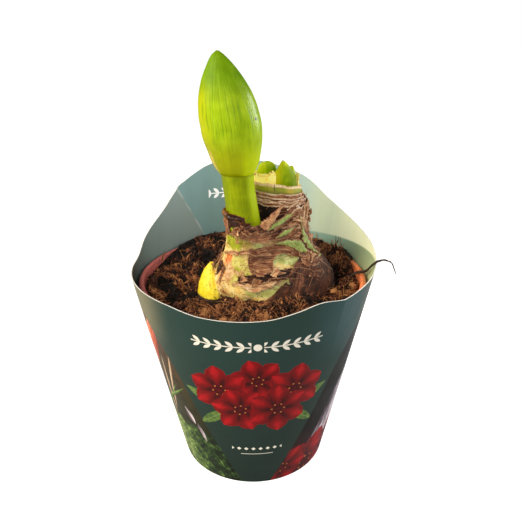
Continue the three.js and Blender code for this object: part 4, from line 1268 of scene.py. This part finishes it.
def threads_round(body, seed, count, radius, heights):
    """Loose fibres on the neck's rings."""
    random = np.random.default_rng(seed)
    t = np.linspace(0, 1, 8)
    for _ in range(count):
        turn, z = random.uniform(0, TAU), random.uniform(*heights)
        turn_on = turn + random.uniform(0.1, 0.5) * t
        r = radius + random.uniform(0.4, 1.2) * t**2
        rise = random.uniform(-2.5, 2.5) * t + random.uniform(-0.6, 0.6) * np.sin(math.pi * t)
        path = around(NECK["at"], r, turn_on, z + rise)
        body.tube(path, 0.13 * (1.1 - 0.8 * t), 3, along=8 * t, across=0, edge=1, tone=0.8, green=0)


# Young leaves

# Place, turn, thickness, bow, tip, lean and seed, how fresh the green is, how strong its painted light is, and
# then
# rows of [depth below the tip, half width on the left, half width on the right]
LEAVES = {
    "leaf_front": ((16.2, -1.4), 8, 5, 0.5, 181, 0.3, 71, 0.08, 1, [
        [0, 0.2, 0.3], [0.7, 0.9, 1.4], [2.3, 1.8, 3], [5.1, 3.3, 5.1], [8.5, 5.4, 7.1], [12.5, 7.2, 8],
        [20, 8.1, 8.3], [40, 8.2, 8.3],
    ]),
    "leaf_right": ((21.9, 6.4), 62, 4.2, 0.4, 176.4, 0, 72, 0.1, 0.5, [
        [0, 0.15, 0.15], [1, 1.4, 1.3], [3, 2.9, 2.5], [7, 4.4, 4.2], [14, 5.2, 5.2], [37, 5.3, 5.3],
    ]),
    "leaf_back": ((8.2, 10.2), -14, 6, -0.4, 178.2, 0.3, 73, -0.02, 0.3, [
        [0, 0.4, 0.4], [0.4, 2.3, 2.2], [1.3, 4, 4], [3.4, 5.3, 5.3], [8, 6.2, 6.2], [38, 6.5, 6.5],
    ]),
}


def leaf(at, turn, depth, bow, tip, lean, seed, halves):
    """A young blade, thick in its middle, with fine parallel veins."""
    foot = NECK["floor"] + GAP
    angle = full_turn(96)
    down = (tip - foot) * (1 - np.linspace(0, 1, 90)[:, None]) ** 1.6
    z = tip - down
    left, right = table(halves)(down)
    half = np.where(np.cos(angle) < 0, left, right)
    c, s = np.cos(angle), np.sin(angle)
    p = half * np.sign(c) * np.abs(c) ** 0.8
    fullest = max(max(row[1:]) for row in halves)
    thick = depth / 2 * (0.22 + 0.78 * np.minimum(half / fullest, 1) ** 0.8)
    thick = thick * (1 + 0.16 * np.exp(-((p / 1.1) ** 2)))
    q = thick * s * np.abs(s) ** 0.15 + bow * p * p / (2 * fullest) + 0.06 * np.cos(p * 6.5) * np.sign(s)
    q = q + 0.5 * noise(stack(0 * z, 0 * z, z), 14, seed)
    slant = lean * ramp(z, (tip + foot) / 2, tip)
    ax, ay = math.cos(math.radians(turn)), math.sin(math.radians(turn))
    body = Body()
    body.round(stack(at[0] + slant + p * ax - q * ay, at[1] + p * ay + q * ax, z), down=down, across=p)
    return body


def leaf_green(name, shade, lit):
    """Fresh green with fine veins. Painted light makes the left side and tip yellow, as strong as lit says,
    painted shade darkens the right side, and it is paler and yellower low down.
    """
    p = Paint(name, (0.18, 1.6, 2.2, 0.4), Specular_IOR_Level=0.12)
    down, across = p.values("down across")
    vein = p.streaks(across / 0.6, down / 14, 3)
    level = vein * 0.35 + p.noise(5) * 0.65 + shade
    p.over(p.stops(level, "30 #6c9200, 50 #8fad00, 68 #b2c60c"))
    # Painted light on the left side, painted shade on the right, painted light at the tip.
    p.over("#d2cc04", across.rise(1, -3.5) * 0.85 * lit)
    p.over("#587200", across.rise(0, 6) * 0.6)
    p.over("#e2e224", down.rise(4.5, 0.5) * 0.75 * lit)
    p.over("#c8bd4e", down.rise(13, 24) * 0.5)
    return p.done(vein * 0.15 + 0.33, vein * 0.18)


def make_leaves():
    for name, (*form, shade, lit, halves) in LEAVES.items():
        green = leaf_green(name + "_green", shade, lit)
        piece(name + "_blade", leaf(*form, halves), [green], "leaf_green", name, sharp=70)


# Flower stem with its closed bud

# Centre, half width and flatness by height. It pinches in where the scape meets the bud.
STEM = table([
    [138, -2.2, 8.6, 0.96], [146, -3.2, 8.6, 0.96], [154, -4.3, 8.5, 0.96], [162, -5.4, 8.3, 0.96],
    [170, -6.5, 8.1, 0.96], [175, -6.95, 8.2, 0.96], [176.6, -7.1, 8.45, 0.95], [177.2, -7.2, 8.4, 0.95],
    [177.7, -7.4, 8.95, 0.94], [179, -7.8, 9.9, 0.92], [181.1, -8.1, 11.0, 0.88], [183.1, -8.2, 12, 0.84],
    [186, -8.5, 12.85, 0.81], [189.2, -8.8, 13.65, 0.8], [193.2, -9.3, 14.6, 0.8], [197.1, -9.75, 15.15, 0.8],
    [201, -10.1, 15.3, 0.8], [204.9, -10.75, 15.3, 0.8], [208.7, -11.3, 14.8, 0.8], [212.5, -11.85, 14.1, 0.8],
    [218, -12.7, 12.4, 0.8], [223.5, -13.7, 10, 0.8], [228.9, -14.6, 6.9, 0.8], [232.5, -15.3, 4.5, 0.8],
    [234.4, -15.5, 2.9, 0.8], [235.9, -15.6, 0.9, 0.8],
])
# Turns at which the front valve starts and ends, by height
SEAM = table([[177, -144, 48], [190, -128, 56], [205, -118, 60], [232, -111, 48]])


def make_stem():
    turn = full_turn(260)
    spans = (138, 174, 24), (174.4, 181, 28), (181.6, 230, 58), (230.5, 235.9, 16)
    z = np.concatenate([np.linspace(*span) for span in spans])[:, None]
    x, half, flat = STEM(z)
    degrees = signed_degrees(turn)
    first, last = SEAM(z)
    on_valve = np.minimum(degrees - first, last - degrees) * half * TAU / 360
    bud = ramp(z, 177.4, 178.6)
    near_tip = ramp(z, 235, 231)
    valve = ramp(on_valve, -0.35, 0.35) * bud * near_tip
    lip = np.exp(-((on_valve - 0.9) ** 2) / 0.6) * bud * near_tip
    reach = 13  # about the bud's radius
    c, s = np.cos(turn) * reach, np.sin(turn) * reach
    veins = 0.05 * np.cos(turn * 78) + 0.09 * noise(stack(c, s, z / 12), 0.9, 81)
    swell = 0.22 * noise(stack(c, s, z), 17, 82)
    r = half - 0.3 * bud + 0.45 * valve + 0.15 * lip + (veins + swell) * ramp(z, 236, 226)
    body = Body()
    body.round(
        around((x, SCAPE["at"][1]), r, turn, z, flat), along=z, across=turn * reach, seam=on_valve, turned=degrees,
    )
    piece("flower_stem_and_bud", body, [stem_green()], "stem_green", "flower_stem", sharp=70)


def stem_green():
    """Smooth skin with fine upright veins: yellow green on the scape, fresher on the bud, darker at its tip.
    Painted shade lies on the scape's left and where scape and bud meet, and painted light on the scape's right,
    the lower bud's right and the bud's left.
    """
    p = Paint("stem_green", (0.1, 2.5, 3, 0.3), Coat_Roughness=0.18, Specular_IOR_Level=0.1)
    z, across, seam, turned = p.values("along across seam turned")
    vein = p.streaks(across / 0.55, z / 26, 4)
    mottle = p.noise(7, 3)
    level = vein * 0.45 + mottle * 0.55
    p.over(p.stops(level, "35 #738300, 50 #839300, 65 #94a200"))
    # Painted shade on the scape's left and painted light on its right.
    p.over("#748400", turned.rise(-120, -150) * 0.7)
    p.over("#aabd02", turned.rise(-66, -40) * 0.9)
    # The lower bud, with painted light on its right side.
    low = p.stops(level, "35 #858c00, 60 #9aa000")
    p.over(p.mix(low, "#bccd04", turned.rise(-84, -56) * 0.9), z.rise(176.8, 178))
    # The bud, with painted light making its left side yellower.
    bud = p.stops(level, "35 #85a006, 50 #96b30e, 65 #a6c11a")
    p.over(p.mix(bud, "#b0b505", turned.rise(-112, -150) * 0.85), z.rise(182, 202))
    p.over(p.stops(level, "35 #5c8300, 55 #6d9204, 70 #84a612"), z.rise(212, 226))
    lines = p.streaks(across / 0.8, z / 18, 9, 2, 0.5).rise(0.52, 0.66) * abs(z - 209).rise(22, 8)
    fold = abs(turned + 152).rise(11, 3) * abs(z - 184).rise(8, 2)
    fleck = abs(turned + 31).rise(4.4, 2) * abs(z - 205.4).rise(0.9, 0.4)
    scars = p.noise(0.8, 3).rise(0.68, 0.74) * p.noise(9).rise(0.5, 0.62)
    p.over("#5f8410", lines * 0.55)
    # Painted shade in a band where the scape meets the bud.
    p.over("#747f04", z.rise(176.2, 177.1) * z.rise(178, 177.2) * 0.5)
    p.over("#5b7410", abs(seam).rise(0.5, 0.0) * z.rise(178, 181) * 0.75)
    p.over("#d8bd6a", fold * 0.7)
    p.over("#3c2a10", fleck)
    p.over("#a98a3a", scars * 0.6)
    gloss = abs(turned + 34).rise(34, 6) * abs(z - 211).rise(20, 4) * 0.45
    return p.done(vein * 0.14 + mottle * 0.14 + 0.2, vein * 0.16 + mottle * 0.3, Coat_Weight=gloss)


# Dried sheath at the foot of the flower stem, and torn strips


def sheath_layer(body, turns, low, high, roll, out, seed, bite):
    """A curl of dry sheath. bite is how ragged its top is."""
    degrees = np.linspace(*turns, int((turns[1] - turns[0]) * 0.6))
    u = np.linspace(0, 1, len(degrees))
    turn = np.radians(degrees)
    top = high - 2 * ramp(u, 0.5, 1) - 2 * ramp(1 - u, 0.75, 1) + bite * fray(degrees * 0.14, 2.5, seed)
    v = np.linspace(0, 1, 26)[:, None]
    z = low + (top - low) * v
    roll_at = roll * v**2.2 * np.sin(math.pi * np.minimum(u * 1.15 + 0.08, 1)) ** 0.8
    wrinkle = 0.22 * noise(stack(turn * 9, z / 5, seed), 1.0, seed + 1)
    wrinkle = wrinkle + 0.15 * noise(stack(turn * 9, z, seed), 3, seed + 2)
    r = SCAPE["radius"] + GAP + out + roll_at + wrinkle * ramp(v, 0, 0.3)
    x = SCAPE["at"][0] + SCAPE["lean"] * (z - SCAPE["height"])

    def sheet(grow):
        return around((x, SCAPE["at"][1]), r + grow, turn, z, 0.95)

    edge = np.minimum((1 - v) * (top - low), np.minimum(u, 1 - u) * (turns[1] - turns[0]) * 0.14)
    body.wall(sheet(PAPER), sheet(0), along=z, across=turn * 8, edge=edge)


def sheath_roll(body, turns, height, thick):
    """The top of the sheath, rolled over into a wrinkled sausage that thins to its ends."""
    t = np.linspace(0, 1, 60)
    turn = np.radians(turns[0] + (turns[1] - turns[0]) * t)
    line = stack(t * 20, 0, 0)
    r = SCAPE["radius"] + GAP + 0.85 * thick + 0.4 * noise(line, 4, 706)
    z = height - 2 * ramp(t, 0.4, 1) - 1.4 * ramp(1 - t, 0.7, 1) + 0.4 * noise(line, 3, 707)
    size = thick * np.sin(math.pi * np.clip(t, 0.04, 0.96)) ** 0.6 * (1 + 0.28 * noise(line, 1.6, 708))
    body.tube(around(SCAPE["at"], r, turn, z, 0.95), size, 20, along=z, across=turn * 8, edge=1.0)


def sheath_brown():
    """Dark brown and shiny, with paler streaks, and painted sunlight on its left part."""
    p = Paint("dry_sheath", Specular_IOR_Level=0.5)
    along, across, edge = p.values("along across edge")
    fibre = p.streaks(along / 6, across / 0.6, 8, 4, 0.62)
    level = fibre * 0.6 + p.noise(3, 3) * 0.4
    p.over(p.stops(level, "30 #120501, 48 #2a0d04, 60 #451a08, 75 #7c4218"))
    # Painted sunlight: the sheath's left part is a lighter brown.
    sunlit = p.stops(level, "35 #4e2608, 50 #8a521a, 65 #bd8436")
    p.over(sunlit, across.rise(31, 28.5) * 0.9)
    p.over("#9a5a24", edge.rise(0.45, 0.1) * p.noise(1, 2).rise(0.4, 0.6))
    return p.done(fibre * 0.3 + 0.2, fibre * 0.3 + p.noise(0.6, 3) * 0.1)


def make_sheath():
    body = Body()
    sheath_layer(body, (116, 276), 150.7, 158.4, 1.5, 0.3, 701, 0.5)
    sheath_layer(body, (140, 292), 150.6, 155.4, 1.2, 0.8, 702, 0.7)
    sheath_layer(body, (176, 262), 151, 156.6, 1, 1.6, 703, 0.6)
    sheath_roll(body, (146, 274), 156.8, 1.35)
    piece("dry_sheath_curl", body, [sheath_brown()], "dry_skin", "dry_sheath")


# Each strip's green and tone, and rows of [share of its length, turn in degrees, height, stand-off, width]
STRIPS = {
    "ribbon_curled": (0, 0.92, [
        [0, -65, 150.2, 2.2, 4.2], [0.25, -62, 152.6, 2.7, 5.6], [0.5, -60, 155, 3.2, 4.2],
        [0.78, -57.5, 158.4, 3.5, 2.2], [1, -55.5, 161.4, 4.2, 0.4],
    ]),
    "ribbon_green_upper": (0.8, 0.5, [
        [0, -62, 148.4, 2.2, 1], [0.25, -58.8, 150.4, 2.5, 2.8], [0.6, -55, 152.8, 2.8, 3.2],
        [0.85, -52, 154.6, 2.9, 2.8], [1, -50.4, 155.8, 2.8, 1.4],
    ]),
    "ribbon_green_lower": (0.8, 0.5, [
        [0, -58, 143.2, 2, 1], [0.3, -54.6, 144.8, 2.2, 2.8], [0.7, -51, 146.2, 2.2, 2.2],
        [1, -47.4, 147.6, 2.2, 0.5],
    ]),
    "ribbon_fork_right": (1, 0.6, [
        [0, -44, 155, 2.3, 0.6], [0.2, -42.4, 150, 2.2, 1.6], [0.42, -39.5, 144.4, 2.1, 2.6],
        [0.6, -36, 140, 2.1, 4.4], [0.76, -33, 136.4, 2.1, 4.8], [0.9, -27, 132.8, 2.2, 3.4],
        [1, -20.5, 129, 2.5, 1.2],
    ]),
    "ribbon_fork_left": (1, 0.6, [
        [0, -59, 140.4, 2, 0.8], [0.3, -53.4, 139.6, 2.1, 3], [0.6, -49, 138.2, 2.1, 5],
        [0.85, -44.6, 135.4, 2.2, 5], [1, -41, 132.4, 2.4, 2],
    ]),
}


def strip(seed, green, tone, rows):
    """A loose strip of torn skin with curled, ragged sides."""
    degrees, height, out, width = table(rows)(np.linspace(0, 1, 60))
    centre = bulb_at(np.radians(degrees), height, out)
    ahead = unit(np.gradient(centre, axis=0))
    normal = stack(np.cos(np.radians(degrees)), np.sin(np.radians(degrees)), 0)
    across = unit(np.cross(ahead, normal))
    v = np.linspace(-1, 1, 15)
    along = np.concatenate([[0], np.cumsum(np.linalg.norm(np.diff(centre, axis=0), axis=1))])[:, None]
    ragged = 0.42 * fractal(stack(along, np.sign(v) * 5, seed), 2.2, 4, seed, 0.7)
    half = width[:, None] / 2 * (1 + ragged)
    s = half * v
    cup = 0.45 * (1 - v**2) * np.minimum(half, 1) + 0.25 * noise(stack(along, s, seed), 3.5, seed + 1)
    lift = cup + 0.12 * noise(stack(along / 6, s, seed), 0.8, seed + 2)

    def sheet(grow):
        return centre[:, None] + s[..., None] * across[:, None] + (lift + grow)[..., None] * normal[:, None]

    body = Body()
    body.wall(sheet(PAPER), sheet(0), along=along, across=s, edge=half - np.abs(s), tone=tone, green=green)
    return body


def strip_skin():
    """Torn strips: peach brown, or pale mint green with brown sides."""
    p = Paint("torn_strip", Sheen_Weight=0.1)
    along, across, edge, green = p.values("along across edge green")
    fibre = p.streaks(along / 7, across / 0.45, 6, 4, 0.62)
    patch = p.noise(2.6, 4, 0.65)
    level = fibre * 0.6 + patch * 0.4
    p.over(p.stops(level, "30 #6a3620, 45 #b0713f, 58 #dba774, 75 #efd0a6"))
    mint = p.stops(level, "30 #5a721e, 45 #829638, 60 #b2c06a, 75 #d8de98")
    p.over(mint, (green + (patch - 0.5) * 1.6).rise(0.42, 0.62))
    side = p.stops(fibre, "35 #4a2618, 50 #8a5438, 70 #cf9d74")
    p.over(side, (edge + (patch - 0.5) * 1.4).rise(0.5, 0.25))
    p.over("#5d3320", p.noise(1.4, 4).rise(0.57, 0.66) * 0.7)
    return p.done(fibre * 0.2 + 0.55, fibre * 0.25 + p.noise(0.5, 2) * 0.08)


def make_strips():
    skin_of_strips = strip_skin()
    for k, (name, kind) in enumerate(STRIPS.items()):
        slot = "green_skin" if kind[0] else "dry_skin"
        piece("torn_" + name, strip(720 + 5 * k, *kind), [skin_of_strips], slot, name)


# Soil

POT_INSIDE = [[60.65, 99.6], [58.55, 96.8], [41.55, 4.5], [40.15, 4.5]]  # radius and height, down its wall
SOIL = {"reach": 60.9, "height": 109, "clear": 37.5}  # radius of the surface, its height and radius at the bulb


# Heaps and hollows: place, spread and height
HEAPS = ((-37, -10, 10, -4.5), (49, 8, 6, -5), (2, -36, 13, 3), (25, -33, 7, 5), (55, -3, 4, 3))


def brim(x, y):
    """How far the soil climbs towards the rim, left and right."""
    left, right = 2.6 * bump_at(y, -6, 34) * ramp(-x, 0, 30), 7.4 * bump_at(y, 22, 26) * ramp(x, 0, 30)
    return ramp(np.hypot(x, y), 44, 58) * (left + right)


def soil_height(x, y):
    """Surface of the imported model's soil: heaped up behind the bulb, hollow beside it."""
    lumps = 1.3 * ground_noise(x / 9, y / 9, 1) + 0.9 * ground_noise(x / 4.2, y / 4.2, 2)
    heaps = sum(
        size * np.exp(-((x - at_x) ** 2 + (y - at_y) ** 2) / (2 * spread**2))
        for at_x, at_y, spread, size in HEAPS
    )
    return 109.3 + 10.5 * ramp(y, 8, 56) + brim(x, y) + heaps + lumps * (1 - 0.65 * ramp(np.hypot(x, y), 50, 61))


def clumps(points, fine=1.0):
    """Height of the crumbs of which the surface is made, in millimetres about 0."""
    flat = points * (1, 1, 0.5)
    big = 2.6 * np.maximum(0.66 - cells(flat, 6.4, 801), 0)
    small = 1.6 * np.maximum(0.62 - cells(flat, 2.4, 802), 0)
    return big + fine * small + 0.7 * noise(flat, 9, 804) + 0.35 * fractal(flat, 1.4, 3, 803) - 1.1


def ground_tone(places):
    """How light the soil is, from 0 to 1: lighter in front, darker behind on the left, and darker in the hollow on
    the right, where shade is painted.
    """
    x, y = places[..., 0], places[..., 1]
    patches = 0.45 + 0.5 * fractal(places, 6, 3, 811)
    # Painted shade: darker in the hollow on the right.
    hole = np.exp(-((x - 48) ** 2 + (y - 6) ** 2) / 120)
    return patches + 0.11 * ramp(-y, 5, 40) - 0.17 * ramp(y, 0, 30) * ramp(-x, -20, 10) - 0.35 * hole


def hole_radius(angle, z):
    """Radius about the bulb's axis of the hollow that the bulb and its bulblet leave in the soil."""
    turn = full_turn(360)
    out = np.zeros((len(z), len(angle)))
    for k, height in enumerate(z):
        bulb = bulb_at(turn, np.full(len(turn), height), GAP)
        centre, r = bulblet_at(turn, height, GAP)
        small = around(centre, r * (height > 89), turn, height)
        for ring in (bulb, small):
            off = ring[:, :2] - BULB["at"]
            polar = np.arctan2(off[:, 1], off[:, 0])
            far = np.hypot(off[:, 0], off[:, 1])
            steps = np.round((angle[:, None] - polar) / TAU)
            near = np.abs(angle[:, None] - polar - steps * TAU) < 0.035
            out[k] = np.maximum(out[k], np.max(np.where(near, far, 0), axis=1))
    return out


def soil_body():
    """From the foot of the bulb's hollow up its side, out over the surface and down inside the pot."""
    angle = full_turn(600)
    deep = np.array([57.6, 58.6, 61, 66, 74, 84, 92, 100, 105])
    start = hole_radius(angle, np.array([SOIL["height"]]))[0]
    share = np.linspace(0, 1, 56)[:, None, None]
    surface = around(BULB["at"], start, angle, 0) * (1 - share) + around(MIDDLE, SOIL["reach"], angle, 0) * share
    surface[..., 2] = soil_height(surface[..., 0], surface[..., 1])
    edge = surface[-1, :, 2].copy()
    surface[..., 2] += clumps(surface) * ramp(share[..., 0], 1, 0.97)
    lip = POT["height"] + GAP
    spill = ramp(edge, lip + 0.7, lip + 1.6)
    rough = 0.5 * noise(around(MIDDLE, SOIL["reach"], angle, 0), 2, 805)
    out = SOIL["reach"] + 0.3
    over_rim = [
        (out + 1.6 * spill, edge - 0.2 + 0.3 * rough * spill),
        (out + (3 + rough) * spill, edge - 0.4 - 0.5 * spill),
        (out + 2.6 * spill, np.minimum(edge - 0.7, lip + 0.3)),
        (out - 0.1, np.minimum(edge - 1, lip)),
    ]
    rows = [around(BULB["at"], r, angle, z) for r, z in zip(hole_radius(angle, deep), deep)]
    rows += [*surface, *(around(MIDDLE, r, angle, z) for r, z in (*over_rim, *POT_INSIDE))]
    return np.stack(rows)


def soil_paint(name, shift):
    """Damp peat: nearly black where it is fine and wet, red brown where it is fibrous."""
    p = Paint(name, Specular_IOR_Level=0.3)
    tone = p.values("tone")[0]
    level = p.noise(1.1, 4, 0.65) * 0.75 + tone * 0.75 - 0.28 + shift
    p.over(p.stops(level, "22 #0e0603, 38 #26120a, 52 #4a2617, 68 #7c452a, 86 #ad7749"))
    return p.done(p.noise(2) * 0.3 + 0.65, p.noise(0.8, 4, 0.65) * 0.5)


def soil_places(random, count):
    """Random places on the soil between the bulb and the rim."""
    angle = random.uniform(0, TAU, count)
    turns = np.linspace(0, TAU, 181)
    start = np.interp(angle, turns, hole_radius(turns, np.array([SOIL["height"] + 1]))[0]) + 1
    inside = around(BULB["at"], start, angle, 0)
    outside = around(MIDDLE, SOIL["reach"] - 0.7, angle, 0)
    share = random.uniform(0, 1, count)[:, None] ** 0.8
    places = inside * (1 - share) + outside * share
    places[:, 2] = soil_height(places[:, 0], places[:, 1])
    places[:, 2] += clumps(places)
    return places


# Places of upright fibres
TUFTS = ((52, 27, 117), (54, 25, 118), (50, 29, 118), (-42, 20, 115), (-57, 20.5, 113), (40, 42, 118))


def make_soil():
    points = soil_body()
    body = Body()
    body.round(points, tone=np.clip(ground_tone(points) - 0.15, 0, 1))
    piece("soil_bed", body, [soil_paint("soil_bed", 0)], "potting_soil", "soil")

    random = np.random.default_rng(21)
    crumbs = Body()
    for count, small, large, fine in ((300, 1.6, 3.8, True), (1100, 0.9, 2.1, True), (3200, 0.4, 1.2, False)):
        places = soil_places(random, count)
        size = random.uniform(small, large, count)
        sizes = size[:, None] * random.uniform(0.45, 1.4, (count, 3))
        places[:, 2] += size * 0.1
        tone = np.clip(ground_tone(places) + random.normal(0, 0.22, count), 0, 1)
        crumbs.lumps(places, sizes, int(random.integers(1000)), fine, tone=tone)
    piece("soil_crumbs", crumbs, [soil_paint("soil_crumb", 0.04)], "potting_soil", "soil")

    fibres = Body()
    places = soil_places(random, 6000)
    places = places[ground_tone(places) + random.uniform(-0.3, 0.3, len(places)) > 0.45]
    for place in places:
        turn, reach = random.uniform(0, TAU), min(random.exponential(2.6) + 1.2, 13)
        arch, rise = random.uniform(0.2, 1.7), random.uniform(-0.3, 1.4)
        bend, thick = random.normal(0, 1.6), random.uniform(0.1, 0.28)
        add_soil_fibre(fibres, random, place, turn, reach, bend, arch, rise, thick, 0.08)
    for place in TUFTS:
        for _ in range(4):
            turn, bend, rise = random.uniform(0, TAU), random.normal(0, 0.8), random.uniform(3.5, 8)
            add_soil_fibre(fibres, random, place, turn, 4.5, bend, 0.6, rise, 0.32, 0.6)
    piece("soil_fibres", fibres, [soil_paint("soil_fibre", 0.12)], "potting_soil", "soil")


def add_soil_fibre(body, random, place, turn, reach, bend, arch, rise, thick, light):
    """A short curved fibre that starts at a place on the soil, inside the rim and clear of the bulb."""
    t = np.linspace(0, 1, 5)
    heading = turn + bend * t
    flat = np.stack([np.cos(heading), np.sin(heading)], -1)
    flat = np.array(place[:2]) + np.cumsum(flat, axis=0) * reach / 5
    flat = flat * np.minimum(1, (SOIL["reach"] - 0.3) / np.maximum(np.hypot(*flat.T), 1))[:, None]
    off = flat - BULB["at"]
    x, y = (BULB["at"] + off * np.maximum(1, SOIL["clear"] / np.maximum(np.hypot(*off.T), 1))[:, None]).T
    path = stack(x, y, np.maximum(place[2], soil_height(x, y)) + arch * np.sin(math.pi * t) + rise * t)
    tone = float(np.clip(ground_tone(path[0]) + random.normal(light, 0.25), 0, 1))
    body.tube(path, thick * (1.1 - 0.7 * t), 3, tone=tone)


FIBRE = [
    [54, -1, 110.4], [59.6, -1.4, 115.2], [64.7, -2.2, 116.8], [65.9, -7.4, 120.8], [67.4, -13, 126.2],
    [69.5, -15.2, 128.6], [72.1, -15.4, 129.3], [75, -15.4, 128.5], [76.7, -15.3, 126.9], [78, -15.2, 124],
    [79.5, -15, 120.3],
]


def make_fibre():
    """A dry root fibre that lies over the rim and hangs out over the sleeve's edge."""
    p = Paint("dry_root")
    level = p.noise(1.2, 4)
    p.over(p.stops(level, "30 #170d08, 50 #2f1d13, 75 #5d4230"))
    material = p.done(level * 0.3 + 0.6, p.noise(0.5, 3) * 0.15)
    t = np.linspace(0, len(FIBRE) - 1, 120)
    path = np.stack(table([[k, *point] for k, point in enumerate(FIBRE)])(t), -1)
    path += 0.12 * np.stack([noise(stack(t * 3, 0, k), 2, 90 + k) for k in range(3)], -1)
    radius = 0.8 * (1 - 0.74 * (t / t[-1]) ** 1.5) * (1 + 0.18 * noise(stack(t * 4, 0, 0), 1, 95))
    body = Body()
    body.tube(path, radius, 8)
    piece("dry_root_fibre", body, [material], "dry_root", "dry_fibre")


# The whole scene

set_stage()
make_pot()
make_sleeve()
make_bulb()
make_skins()
make_neck()
make_leaves()
make_stem()
make_sheath()
make_strips()
make_soil()
make_fibre()
